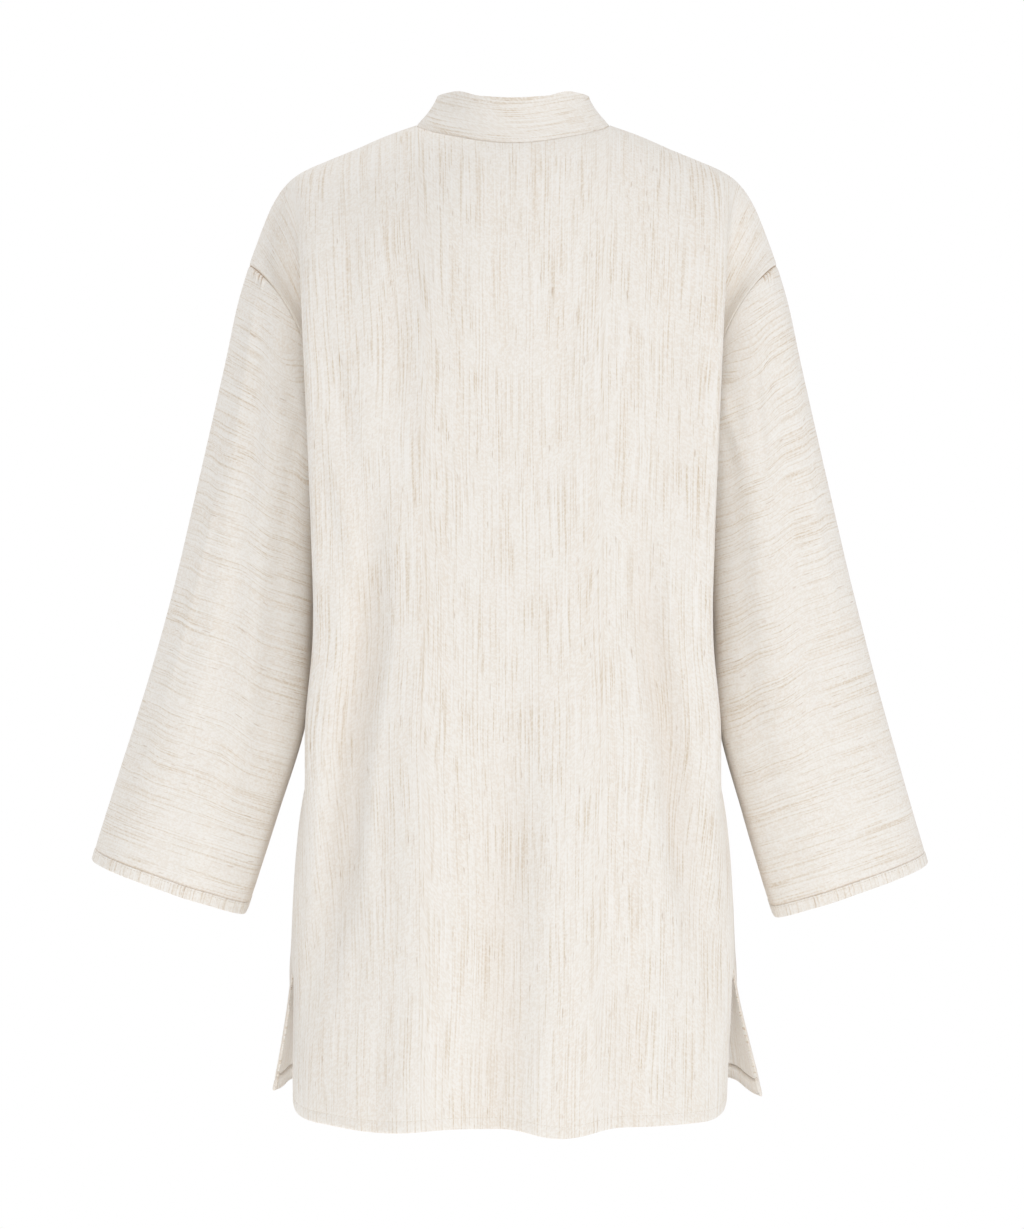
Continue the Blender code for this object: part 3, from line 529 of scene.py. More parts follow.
def hem_z(face, side, cloth):
    dips = sum(deep * bump(side * cloth - at, half) for at, half, deep in HEM_DIPS[face])
    radius = CORNER_RADIUS[face]
    turn = np.clip(cloth - (PANEL_HALF - radius), 0.0, radius)
    lift = CORNER_TIP[face] * near_edge(cloth, CORNER_TIP_WIDTH)
    lift -= CORNERS[face, side][1] * near_edge(cloth, CORNER_WIDTH[face])
    return HEM_Z[face] - dips + lift + radius - np.sqrt(radius**2 - turn**2)


def slit_half(z):
    """Half the width of the slit below the collar."""
    return NECK_SLIT_HALF * np.clip((z - NECK_SLIT_END_Z) / (neck_middle_z(FRONT) - NECK_SLIT_END_Z), 0.0, 1.0)


def slit_ease(cloth):
    return np.maximum(1 - np.abs(cloth) / NECK_SLIT_EASE, 0.0) ** 2


def half_panel(face, side):
    """The outer face of half a panel before its folds, from the middle to the side."""
    length = SLIT_TOP_Z - HEM_Z[face]
    cloth = HALF_COLUMNS
    start = neck_start(face, cloth)
    rows = [yoke_points(face, cloth, start + (1 - start) * t) for t in YOKE_ROWS]
    rows += [torso_points(face, cloth, np.full(len(cloth), z)) for z in TORSO_ROWS]
    near_slit = near_edge(cloth, CORNER_WIDTH[face])
    out, kick = CORNERS[face, side][0] * near_slit, SLIT_KICK[face] * near_slit
    flare = SLIT_FLARE[face] * ramp((cloth - FLARE_START) / (FLARE_FULL - FLARE_START))
    flare = flare * (1 - ramp((cloth - FLARE_EDGE) / (PANEL_HALF - FLARE_EDGE)))
    for share in graded(0.0, length, GRID_PITCH, NO_STEPS, HEM_STEPS) / length:
        points = torso_points(face, cloth, SLIT_TOP_Z + (hem_z(face, side, cloth) - SLIT_TOP_Z) * share)
        points[:, 0] += out * ramp(share / CORNER_START[face]) + kick * share * (1 - share) ** 2
        points[:, 0] -= flare * ramp(2 * share)
        rows.append(points)
    return np.array(rows)


print("the back's half grid:", half_panel(BACK, LEFT).shape)

# %% [markdown]
# Two pieces meet in the same curve only if both dip the same way there. So the way out of the cloth on a
# seam is half way between the ways out of the two pieces, and it is worked out once for each seam.

# %% The way out of the cloth on a seam
NUDGE = 0.02  # a short step along a curve, for its direction
RING_STEP, CLOTH_STEP, BAND_STEP = 0.16, 8.0, 0.2  # steps away from a seam, on a sleeve, a panel and the collar
OUT_AND_UP = 0.2  # at the neck, the way out also points up a little


def armhole_normals(turns):
    """On the left armhole. turn is below 0 at the front."""
    zeros = np.zeros(len(turns))
    seam = sleeve_points(zeros, turns)
    along = sleeve_points(zeros, turns + NUDGE) - sleeve_points(zeros, turns - NUDGE)
    sleeve = unit(np.cross(sleeve_points(zeros + RING_STEP, turns) - seam, along))
    near = zeros + PANEL_HALF - CLOTH_STEP
    on_front, on_back = (yoke_points(face, near, np.abs(turns)) for face in (FRONT, BACK))
    beside = np.where(turns[:, None] < 0, on_front, on_back)
    normals = unit(np.cross(seam - beside, along)) + sleeve
    normals[np.isin(np.abs(turns), (0, 1)), 1] = 0.0
    return unit(normals)


def collar_points(face, cloth, share):
    """The band on the wearer's left, from the neck seam at 0 to its top edge at 1."""
    side = np.minimum(cloth / NECK_HALF, 1.0)
    forward = np.sqrt(1 - side**2)
    base = yoke_points(face, cloth, neck_start(face, cloth))
    rise = COLLAR_RISE_SIDE + (COLLAR_RISE[face] - COLLAR_RISE_SIDE) * forward**2
    lift = COLLAR_WAVE * bump(side - COLLAR_WAVE_AT, COLLAR_WAVE_HALF)
    lift -= COLLAR_ROUND * np.clip((side - COLLAR_ROUND_AT) / COLLAR_ROUND_WIDTH, 0.0, 1.0) ** 2
    top_z = base[:, 2] + rise + lift
    top = np.column_stack((COLLAR_TOP_HALF * side, face * COLLAR_TOP_DEPTH[face] * forward, top_z))
    if face == FRONT:
        base[:, 0] += slit_half(base[:, 2]) * slit_ease(cloth)
        top[:, 0] += COLLAR_GAP_HALF * slit_ease(cloth)
        near = np.clip(COLLAR_CORNER - cloth, 0.0, COLLAR_CORNER)
        top += (base - top) * ((COLLAR_CORNER - np.sqrt(COLLAR_CORNER**2 - near**2)) / rise)[:, None]
    hollow = COLLAR_HOLLOW * 4 * share * (1 - share)
    out = np.column_stack((side, face * forward, np.zeros(len(side))))
    return base + (top - base) * share[:, None] - out * hollow[:, None]


def neck_normals(face, cloth):
    side = np.minimum(cloth / NECK_HALF, 1.0)
    outward = np.column_stack((side, face * np.sqrt(1 - side**2), np.full(len(side), OUT_AND_UP)))
    t, zeros = neck_start(face, cloth), np.zeros(len(cloth))
    across = yoke_points(face, cloth + 1, t) - yoke_points(face, cloth - 1, t)
    panel = unit(np.cross(across, yoke_points(face, cloth, t + NUDGE) - yoke_points(face, cloth, t)))
    along = collar_points(face, np.minimum(cloth + 1, NECK_HALF), zeros)
    along -= collar_points(face, np.maximum(cloth - 1, 0.0), zeros)
    along[cloth == NECK_HALF] = (0.0, 1.0, 0.0)
    up = collar_points(face, cloth, zeros + BAND_STEP) - collar_points(face, cloth, zeros)
    band = unit(np.cross(along, up))
    both = panel * np.sign(np.sum(panel * outward, axis=1, keepdims=True))
    both += band * np.sign(np.sum(band * outward, axis=1, keepdims=True))
    both[cloth == 0, 0] = 0.0
    both[cloth == NECK_HALF, 1] = 0.0
    return unit(both)


print("the way out at the nape:", neck_normals(BACK, np.zeros(1)).round(2))

# %% [markdown]
# The front is slit below the collar so that it can go over a head. Its grid has two middle columns, a
# hair apart along the slit and in the same place below it, where they are merged. Nothing shows how the
# slit is fastened, so it is left plain.

# %% Both panels' outer faces
HEM_TURN = 0.75  # half the thickness of the turned hem
FLAT_Y = np.array((1.0, 0.0, 1.0))
EDGE_INWARDS = ALLOWANCE - SEAM_ROLL - SEAM_HOLLOW
SLIT_EDGE_INWARDS = 1.2
SEAM_END, SEAM_END_LENGTH = 4.0, 6.0  # the side seam's valley ends round the top of the slit
SLIT_ROUNDING, HEM_ROUNDING = (0.5, 1.6), (0.4, 1.4)  # how deep and how far the pressed edges are rounded


def panel_grid(face):
    """A whole panel's outer face with its folds, its places in the cloth, and the painted shade in the hollows
    of its folds.
    """
    left, right = half_panel(face, LEFT), half_panel(face, RIGHT) * (-1, 1, 1)
    first = 0 if face == FRONT else 1  # the back has no slit, so its middle column is there once
    grid = np.concatenate((right[:, ::-1], left[:, first:]), axis=1)
    cloth = np.concatenate((-HALF_COLUMNS[::-1], HALF_COLUMNS[first:]))
    cloth = np.broadcast_to(cloth, grid.shape[:2])
    heights = fold_height(face, cloth.ravel(), grid[..., 2].ravel()).reshape(cloth.shape)
    grid = grid + grid_normals(grid) * -face * heights[..., None]
    # painted warm shade in the troughs of the folds
    hollows = FOLD_SHADE * ramp(-heights / FOLD_DEEP)
    grid[..., 0] += HEM_SWAY[face] * ramp((SLIT_TOP_Z - grid[..., 2]) / HEM_SWAY_LENGTH)
    return grid, cloth, hollows


def panel_normals(face, grid, cloth, from_top, from_side):
    """The panel's way out, which turns to the shared one at each seam."""
    normals = grid_normals(grid) * -face
    mirror = np.where(cloth[0] < 0, -1, 1)[:, None] * (1, 0, 0) + np.array((0, 1, 1))
    at_top = unit(normals[0] * FLAT_Y)
    neck = np.abs(cloth[0]) <= NECK_HALF
    at_top[neck] = (neck_normals(face, np.abs(cloth[0])) * mirror)[neck]
    normals = turn_to(normals, at_top, from_top)
    armhole = armhole_normals(face * YOKE_ROWS)
    end = len(YOKE_ROWS) + len(TORSO_ROWS)
    for column, sign in ((0, -1), (-1, 1)):
        at_side = unit(normals[:end, column] * FLAT_Y)
        at_side[: len(YOKE_ROWS)] = armhole * (sign, 1, 1)
        own_half = (np.sign(cloth) == sign)[:end]
        normals[:end] = turn_to(normals[:end], at_side[:, None], from_side[:end], own_half)
    return normals


def press_edges(face, grid, cloth):
    """Dips the cloth into its seams and presses the stitch lines in. Returns the grid, normals and the painted
    shade in the seams.
    """
    from_top = distance_along(grid, 0)
    from_hem = from_top[-1] - from_top
    from_side = PANEL_HALF - np.abs(cloth)
    normals = panel_normals(face, grid, cloth, from_top, from_side)
    slit = ramp((SLIT_TOP_Z + SEAM_END - grid[..., 2]) / SEAM_END_LENGTH)
    dip = np.maximum(seam_dip(from_top), seam_dip(from_side) * (1 - slit))
    for (deep, reach), distance, where in ((SLIT_ROUNDING, from_side, slit), (HEM_ROUNDING, from_hem, 1)):
        dip += deep * (1 - ramp(distance / reach)) * where
    dip += GROOVE * bump(from_hem - HEM_STITCH, GROOVE_WIDTH)
    dip += GROOVE * bump(from_side - SLIT_STITCH[face], GROOVE_WIDTH) * slit
    # painted shade in the armhole and side seams, and in the neck seam
    strength = np.concatenate((armhole_shade(YOKE_ROWS), np.full(len(grid) - len(YOKE_ROWS), SIDE_SHADE)))
    shade = np.maximum(seam_shade(from_side, strength[:, None]) * (1 - slit), seam_shade(from_top, NECK_SHADE))
    return grid - normals * dip[..., None], normals, shade


print("hem", 2 * HEM_TURN, "mm thick where it is turned")

# %% Both panels as sheets
def turn_hem(grid, normals):
    """The rows that carry the hem round its edge and up again on the inside."""
    down = unit(grid[-1] - grid[-3])
    rows = [grid[-1] - normals[-1] * HEM_TURN * (1 - math.cos(angle)) + down * HEM_TURN * math.sin(angle)
            for angle in np.radians((45, 90, 135, 180))]
    last = len(HEM_STEPS) - 2
    rows += [grid[-row] - normals[-row] * 2 * HEM_TURN for row in range(2, last + 1)]
    rows.append(grid[-last - 1] - normals[-last - 1] * HEM_TURN)  # the turned-under edge lies on the cloth
    return np.array(rows)


# where it lies in the cloth and in z, half its width and height, and how far the yarns go aside
GRAIN_BENDS = {
    BACK: (
        (205, -700, 52, 110, 7.0), (150, -560, 46, 130, -4.0), (-196, -690, 50, 120, -7.0),
        (-140, -500, 48, 150, 4.0), (20, -640, 60, 140, 2.5), (-60, -250, 70, 120, -2.0),
        (84, -190, 60, 90, 2.5), (226, -330, 34, 110, 4.0), (-226, -350, 34, 120, -4.0),
    ),
    FRONT: (
        (190, -660, 56, 120, 6.0), (-200, -680, 50, 110, -7.0), (60, -420, 60, 150, 3.0),
        (-80, -300, 60, 110, -3.0),
    ),
}


def grain_bend(face, places, z):
    """How far the yarns are pulled aside where the cloth is slack."""
    return sum(far * bump(places - at, half) * bump(z - height, high) * (places - at + half) / half
               for at, height, half, high, far in GRAIN_BENDS[face])


def make_panel(face, name, offset):
    grid, cloth, hollows = panel_grid(face)
    grid, normals, shade = press_edges(face, grid, cloth)
    shade = np.maximum(shade, hollows)
    skip = None
    if face == FRONT:
        # painted shade on the front's inside behind the slits
        beside = ramp((np.abs(cloth) - SLIT_SHADE_START) / SLIT_SHADE_WIDTH)
        below = ramp((SLIT_TOP_Z + SLIT_SHADE_RISE - grid[..., 2]) / (2 * SLIT_SHADE_RISE))
        shade = np.maximum(shade, SLIT_SHADE * beside * below)
        middle = grid.shape[1] // 2 - 1
        part = slit_half(grid[..., 2]) * slit_ease(cloth) * np.where(np.arange(grid.shape[1]) > middle, 1, -1)
        grid = grid + part[..., None] * (1, 0, 0)
        skip = middle + 1
    full = np.concatenate((grid[:1] - normals[:1] * EDGE_INWARDS, grid, turn_hem(grid, normals)))
    extra = len(full) - len(grid) - 1
    all_normals = np.concatenate((normals[:1], normals, np.repeat(normals[-1:], extra, axis=0)))
    inwards = all_normals * np.where(full[..., 2] < SLIT_TOP_Z, SLIT_EDGE_INWARDS, EDGE_INWARDS)[..., None]
    full = np.concatenate(((full - inwards)[:, :1], full, (full - inwards)[:, -1:]), axis=1)
    places = cloth[0]
    u = np.broadcast_to(np.concatenate((places[:1] - 2, places, places[-1:] + 2)), full.shape[:2])
    u = u + grain_bend(face, u, full[..., 2])
    uv = np.stack((u, -distance_along(full, 0)), axis=-1) + offset
    shade = np.pad(shade, ((1, extra), (1, 1)), mode="edge")
    shade[-2:] = HEM_SHADE  # the stitched edge of the turned hem, on the inside
    piece = grid_mesh(name, full, uv, outwards=face == FRONT, skip_column=skip, painted_shade_and_hem_line=shade)
    merge_doubles(piece)
    return thicken(piece), grid, normals


back, back_grid, back_normals = make_panel(BACK, "back_panel", (0, 0))
front, front_grid, front_normals = make_panel(FRONT, "front_panel", (1300, 700))

# %% [markdown]
# ## The sleeves
# A sleeve is one tube of cloth. It is eased into the armhole with a few small gathers on each side of the
# shoulder, it has a soft fold down its back, and slack lies across it above the elbow. Each row of the
# first table is the place round the sleeve where the fold starts and where it ends, half its width, its
# first and last ring and its height. Places are in half turns from the outer line, above 0 at the back.

# %% The folds and the gathers of the sleeves
SLEEVE_FOLDS = {
    LEFT: (
        (0.36, 0.54, 0.10, 0.3, 7.0, -2.6), (0.58, 0.58, 0.12, 1.5, 9.0, 3.0),
        (-0.40, -0.40, 0.12, 0.5, 6.0, -4.5), (-0.66, -0.66, 0.12, 1.5, 7.5, 3.5),
        (0.44, 0.52, 0.045, 1.4, 4.2, -1.5), (0.30, 0.24, 0.050, 3.6, 6.6, 1.3),
        (0.47, 0.40, 0.040, 4.4, 7.4, -1.2), (0.70, 0.62, 0.050, 0.6, 3.0, 1.4),
        (-0.24, -0.30, 0.050, 0.6, 3.4, 1.6), (-0.52, -0.44, 0.045, 2.2, 5.4, -1.5),
        (-0.80, -0.72, 0.050, 1.0, 4.6, 1.3),
    ),
    RIGHT: (
        (0.33, 0.45, 0.10, 0.3, 6.6, -2.4), (0.22, 0.28, 0.12, 0.5, 5.4, 0.9),
        (0.60, 0.60, 0.12, 1.8, 9.0, 3.0), (-0.38, -0.38, 0.12, 0.5, 6.5, -4.5),
        (-0.64, -0.64, 0.12, 1.2, 7.8, 3.5), (0.46, 0.54, 0.045, 1.2, 3.8, -1.4),
        (0.29, 0.25, 0.050, 3.2, 6.0, 1.2), (0.50, 0.42, 0.045, 4.8, 7.6, -1.4),
        (0.72, 0.62, 0.050, 0.5, 3.4, 1.5), (-0.25, -0.33, 0.050, 0.8, 3.8, 1.5),
        (-0.50, -0.43, 0.045, 2.6, 5.8, -1.4), (-0.78, -0.70, 0.050, 0.8, 4.2, 1.4),
    ),
}
# face, first place round the sleeve, then the height and the length in rings of each gather
GATHERS = {
    LEFT: (
        (BACK, 0.185, ((2.3, 0.42), (1.6, 0.30), (2.6, 0.50), (1.9, 0.34), (2.2, 0.46))),
        (FRONT, 0.185, ((2.0, 0.38), (2.3, 0.46), (1.6, 0.30), (2.1, 0.42), (1.8, 0.34))),
    ),
    RIGHT: (
        (BACK, 0.180, ((1.9, 0.36), (2.4, 0.50), (1.7, 0.32), (2.3, 0.44), (1.5, 0.28))),
        (FRONT, 0.180, ((2.1, 0.44), (1.7, 0.30), (2.4, 0.48), (1.6, 0.36), (2.0, 0.40))),
    ),
}
GATHER_PITCH = 0.028
GATHER_START = 0.06  # the ring by which they have risen
GATHER_HOLLOW, GATHER_HOLLOW_LENGTH = 0.32, 0.85  # the painted shade's shares of the pitch and of the length
FOLD_GROWS, FOLD_FADES = 0.8, 1.2  # over how many rings a fold does so
print(len(SLEEVE_FOLDS[LEFT]), "folds in the left sleeve and", len(SLEEVE_FOLDS[RIGHT]), "in the right one")

# %% The sleeves' outer faces
BINDING = 10.0
EVEN_TURNS = 96
GATHERED_FROM, GATHERED_WIDTH = 0.17, 0.17  # where round the sleeve the gathers are
CLOSEST_TURNS = 0.0025
FIRST_RINGS = (0, 0.004, 0.011, 0.022, 0.038, 0.06, 0.085, 0.115, 0.15, 0.19, 0.235, 0.285, 0.34, 0.395, 0.45)


def sleeve_turns():
    """Places round the sleeve: even ones, and closer ones where the gathers are."""
    gathered = GATHERED_FROM + np.arange(0, GATHERED_WIDTH, GATHER_PITCH / 8)
    turns = np.sort(np.concatenate((np.linspace(0, 2, EVEN_TURNS + 1)[:-1], gathered, 2 - gathered)))
    return turns[np.concatenate(([True], np.diff(turns) > CLOSEST_TURNS))]


def round_from(turn, place):
    """How far one place round the sleeve is from another, the short way."""
    return (turn - place + 1) % 2 - 1


def place_at(ring, start, end, first, last):
    """Where a fold lies round the sleeve at each ring."""
    return start + (end - start) * np.clip((ring - first) / (last - first), 0.0, 1.0)


def gathers_of(side):
    """The face, the first gather's place, this one's number, its height and its length."""
    for face, first, gathers in GATHERS[side]:
        for k, gather in enumerate(gathers):
            yield face, first, k, *gather


def sleeve_height(side, ring, turn):
    """How far the folds and the gathers push the sleeve out."""
    height = np.zeros(len(ring))
    for start, end, half_width, first, last, high in SLEEVE_FOLDS[side]:
        ease = ramp((ring - first) / FOLD_GROWS) * ramp((last - ring) / FOLD_FADES)
        height += high * ease * bump(round_from(turn, place_at(ring, start, end, first, last)), half_width)
    for face, first, k, high, length in gathers_of(side):
        away = round_from(turn, face * (first + (k + 0.5) * GATHER_PITCH))
        height += high * ramp(ring / GATHER_START) * (1 - ramp(ring / length)) * bump(away, GATHER_PITCH / 2)
    return height


def gather_shade(side, ring, turn):
    """The painted shade in the hollows between the gathers."""
    shade = 0.0
    for face, first, k, _, length in gathers_of(side):
        away = round_from(turn, face * (first + k * GATHER_PITCH))
        hollow = bump(away, GATHER_HOLLOW * GATHER_PITCH) * (1 - ramp(ring / (GATHER_HOLLOW_LENGTH * length)))
        shade = np.maximum(shade, GATHER_SHADE * hollow)
    return shade


def sleeve_grid(side, rings, turns):
    """A sleeve's outer face with this side's folds, as on the wearer's left, and its normals."""
    ring, turn = (values.ravel() for values in np.meshgrid(rings, turns, indexing="ij"))
    grid = sleeve_points(ring, turn).reshape(len(rings), len(turns), 3)
    height = sleeve_height(side, ring, turn).reshape(len(rings), len(turns), 1)
    grid = grid + grid_normals(grid, closed=True) * height
    aside, up = CUFF_SWAY[side]
    grid += ramp((rings - CUFF_SWAY_RING) / (CUFF - CUFF_SWAY_RING))[:, None, None] * (side * aside, 0, up)
    return grid, grid_normals(grid, closed=True)


# down the outside of the sleeve, from the last ring but one to the last
outer_run = lengths_along(sleeve_points(np.array([CUFF - 1, CUFF]), np.zeros(2)))[-1]
CUFF_SEAM = CUFF - BINDING / outer_run
print("the binding starts at ring", round(float(CUFF_SEAM), 3))

# %% [markdown]
# The slub yarns run across a sleeve and slope down towards the body, more steeply on the shoulder. Where
# a soft fold runs down the sleeve, they drop as they cross it, which shows more than the fold's own
# shade.

# %% The weave's place on a sleeve
CROSS_SLOPE, CAP_SLOPE = 0.33, 0.62
CAP_SLOPE_Z, CAP_SLOPE_RISE = -340.0, 180.0  # from where up, and over what height, the steeper slope comes in
DROP_EASE = 0.9
DROP_RETURN, DROP_RETURN_WIDTH = 1.3, 0.3  # where the yarns come up again, on the front of the sleeve
SLEEVE_MIDDLE = ((-150.0, 196.0), (-400.0, 232.0), (-650.0, 286.0))  # z and x of the middle of the sleeve
# place round the sleeve at the first and at the last ring, width, first and last ring, how far the yarns drop
YARN_DROPS = {
    LEFT: (
        (0.36, 0.55, 0.16, 0.5, 7.4, 8.0), (0.66, 0.72, 0.12, 0.6, 4.6, 4.5),
        (0.18, 0.24, 0.10, 2.6, 7.6, 3.0),
    ),
    RIGHT: (
        (0.32, 0.46, 0.15, 0.6, 7.0, 7.0), (0.60, 0.66, 0.13, 2.0, 7.2, 4.0),
        (0.16, 0.22, 0.09, 1.6, 5.6, 2.5),
    ),
}


def ring_uv(grid, rings, turns, side, offset):
    """U falls with the height, a little later further out, and V runs round the sleeve."""
    closed = np.concatenate((grid, grid[:, :1]), axis=1)
    x, z = closed[..., 0], closed[..., 2]
    heights, middles = np.array(SLEEVE_MIDDLE)[::-1].T
    middle = np.interp(z, heights, middles)
    slope = CROSS_SLOPE + (CAP_SLOPE - CROSS_SLOPE) * ramp((z - CAP_SLOPE_Z) / CAP_SLOPE_RISE)
    u = slope * (x - middle) + CROSS_SLOPE * middle - z
    turn, ring = np.append(turns, 2.0), rings[:, None]
    for start, end, width, first, last, drop in YARN_DROPS[side]:
        place = place_at(ring, start, end, first, last)
        ease = ramp((ring - first) / DROP_EASE) * ramp((last - ring) / DROP_EASE)
        back_up = ramp((turn - DROP_RETURN) / DROP_RETURN_WIDTH)
        u = u - drop * ease * (ramp((turn - place) / width) - back_up)
    return np.stack((u, distance_along(closed, 1)), axis=-1) + offset


print("places where the yarns of a sleeve drop across a fold:", len(YARN_DROPS[LEFT]))

# %% [markdown]
# The binding is a strip folded over the sleeve's raw edge, so the sleeve runs on inside it for a few
# millimetres.

# %% Sleeves and bindings
INSIDE_BINDING = 5.0 / outer_run
BINDING_OUT, BINDING_IN = 0.15, -2.25  # the strip's outer faces, from the sleeve's outer face
BINDING_THICKNESS = 0.6
BINDING_TOP = ((0.0, -0.8), (0.12, -0.42), (0.35, -0.16), (0.8, 0.04), (1.8, 0.13))  # down and out: turned under
BINDING_TURNS = 120
PUCKER = 0.16  # the stitches pull its upper half into small ripples
SLEEVE_ROWS = 124
CUFF_STEPS = np.array((0.07, 0.045, 0.028, 0.016, 0.009, 0.004, 0.0015, 0.0))  # in rings before the binding
STITCHED_ROW = 4  # the row of the binding's grid that its stitches follow
BESIDE_BODY_SHADE = 0.20  # painted warm shade on the side towards the body, out of the light
BESIDE_BODY, BESIDE_BODY_WIDTH = 0.86, 0.10  # where that starts round the sleeve, and over what width it grows
BESIDE_BODY_RING, BESIDE_BODY_RINGS = 0.2, 1.2  # the same down the sleeve
CUFF_ROLL, CUFF_HOLLOW = 0.7, 0.1  # the sleeve dips less under its binding than at a seam


def make_sleeve(side, name, offset):
    even = np.linspace(0.5, CUFF_SEAM - 0.1, SLEEVE_ROWS)
    inside = (CUFF_SEAM + 0.3 * INSIDE_BINDING, CUFF_SEAM + INSIDE_BINDING)
    rings = np.concatenate((FIRST_RINGS, even, CUFF_SEAM - CUFF_STEPS, inside))
    turns = sleeve_turns()
    around = np.where(turns > 1, turns - 2, turns)
    grid, normals = sleeve_grid(side, rings, turns)
    from_seam = distance_along(grid, 0)
    normals = turn_to(normals, armhole_normals(around), from_seam)
    to_cuff = np.abs(from_seam[len(rings) - 3] - from_seam)
    to_cuff[-2:] = 0.0
    dip = seam_dip(from_seam) + seam_dip(to_cuff, CUFF_ROLL, CUFF_HOLLOW)
    grid = grid - normals * dip[..., None]
    full = np.concatenate((grid[:1] - normals[:1] * EDGE_INWARDS, grid))
    uv = ring_uv(full, np.concatenate((rings[:1], rings)), turns, side, offset)
    # painted shade: in the armhole and cuff seams, in the gathers' hollows and on the side towards the body
    beside_body = ramp((np.abs(around) - BESIDE_BODY) / BESIDE_BODY_WIDTH)
    beside_body = beside_body * ramp((rings[:, None] - BESIDE_BODY_RING) / BESIDE_BODY_RINGS)
    shade = np.maximum(seam_shade(from_seam, armhole_shade(around)), seam_shade(to_cuff, CUFF_SHADE))
    shade = np.maximum(shade, gather_shade(side, rings[:, None], turns))
    shade = np.maximum(shade, BESIDE_BODY_SHADE * beside_body)
    shade = np.concatenate((shade[:1], shade))
    piece = grid_mesh(name, full * (side, 1, 1), uv, outwards=side == LEFT, closed=True, painted_shade_and_hem_line=shade)
    return thicken(piece)


def make_binding(side, name, offset):
    """Down its outer face, round its lower edge and up inside the sleeve."""
    half, middle = (BINDING_OUT - BINDING_IN) / 2, (BINDING_OUT + BINDING_IN) / 2
    profile = [*BINDING_TOP, *((down, BINDING_OUT) for down in (3.2, 5.0, 6.8, 8.3))]
    profile += [(BINDING - 1 + math.cos(angle), middle + half * math.sin(angle))
                for angle in np.radians((90, 65, 40, 15, -15, -40, -65, -90))]
    profile += [(down, BINDING_IN) for down in (7.5, 5.0, 2.5, 0.5)]
    down, out = np.array(profile).T
    turns = np.linspace(0, 2, BINDING_TURNS + 1)[:-1]
    rings = CUFF_SEAM + down / outer_run
    spread = np.unique(np.append(rings, CUFF_SEAM - 0.1))
    grid, normals = sleeve_grid(side, spread, turns)
    rows = np.searchsorted(spread, rings)
    ripple = PUCKER * np.sin(turns * 71) * np.sin(turns * 31 + 1)
    lift = out[:, None] + ripple * (np.abs(out[:, None]) < 0.5)
    full = grid[rows] + normals[rows] * lift[..., None]
    closed = np.concatenate((full, full[:, :1]), axis=1)
    uv = np.stack((distance_along(closed, 1), distance_along(closed, 0)), axis=-1) + offset
    piece = grid_mesh(name, full * (side, 1, 1), uv, outwards=side == LEFT, closed=True)
    thicken(piece, BINDING_THICKNESS)
    return piece, full[STITCHED_ROW] * (side, 1, 1), normals[rows][STITCHED_ROW] * (side, 1, 1)


sleeves, bindings = {}, {}
for side, word in SIDES:
    sleeves[side] = make_sleeve(side, f"{word}_sleeve", (2500 + side * 400, 1900))
    bindings[side] = make_binding(side, f"{word}_binding", (4100 + side * 500, 300))

# %% [markdown]
# ## The stand collar
# A stand collar is two layers sewn round their edges and turned out, so its edges are round and it keeps
# its form. It is modelled as one thick band whose rims are bevelled. Its weave runs along it.

# %% The collar
COLLAR_THICKNESS = 1.8
COLLAR_STITCHES = (4.0, 4.2)  # above the neck seam and below the top edge
COLLAR_GROOVE_WIDTH = 1.2
COLLAR_EDGE, COLLAR_EDGE_ANGLE = 0.7, 50  # the bevel of its rims, and the least bend that is a rim
COLLAR_PITCH, COLLAR_CORNER_PITCH = 2.4, 0.8
COLLAR_TOP_STEPS = np.array((0, 0.5, 1.2, 2.2, 3.4, 5.0))


def collar_places():
    """(face, side, cloth) round the collar, from its end on the wearer's right to its end on the left."""
    beyond = NECK_COLUMNS[(NECK_COLUMNS > COLLAR_CORNER) & (NECK_COLUMNS < NECK_HALF)]
    right = [(FRONT, RIGHT, cloth) for cloth in (*np.arange(0, COLLAR_CORNER, COLLAR_CORNER_PITCH), *beyond)]
    right += [(BACK, RIGHT, cloth) for cloth in (NECK_HALF, *NECK_COLUMNS[-2:0:-1])]
    return right + [(BACK, LEFT, 0.0)] + [(face, LEFT, cloth) for face, _, cloth in reversed(right)]


def make_collar(name, offset):
    places = collar_places()
    high = COLLAR_RISE[BACK]
    shares = graded(0.0, high, COLLAR_PITCH, EDGE_STEPS[:11], COLLAR_TOP_STEPS) / high
    columns = [collar_points(face, np.full(len(shares), cloth), shares) * (side, 1, 1)
               for face, side, cloth in places]
    grid = np.stack(columns, axis=1)[::-1]  # from the top edge down, as the panels' rows go
    normals = -grid_normals(grid)
    shared = [neck_normals(face, np.array([cloth]))[0] * (side, 1, 1) for face, side, cloth in places]
    up = distance_along(grid[::-1], 0)[::-1]
    normals = turn_to(normals, np.array(shared), up)
    dip = seam_dip(up)
    for distance, stitch in zip((up, up[0] - up), COLLAR_STITCHES):
        dip += GROOVE * bump(distance - stitch, COLLAR_GROOVE_WIDTH)
    grid = grid - normals * dip[..., None]
    uv = np.stack((up, distance_along(grid, 1)), axis=-1) + offset
    piece = grid_mesh(name, grid, uv, outwards=False)
    thicken(piece, COLLAR_THICKNESS)
    select_only(piece)
    bevel = piece.modifiers.new("rounded edges", "BEVEL")
    bevel.width, bevel.segments, bevel.limit_method = COLLAR_EDGE * MM, 3, "ANGLE"
    bevel.angle_limit = math.radians(COLLAR_EDGE_ANGLE)
    bpy.ops.object.modifier_apply(modifier=bevel.name)
    piece.data.shade_smooth()
    return piece, grid, normals


collar, collar_rows, collar_normals = make_collar("stand_collar", (900, 5200))
print("the collar stands", round(float(np.ptp(collar_rows[..., 2]))), "mm from its lowest to its highest point")

# %% [markdown]
# ## The facings of the side slits
# Inside the front, a narrow strip backs each edge of the slits. From behind, it shows past the back's
# edge, and its short streaks run across it, because the strip is cut along the weft.

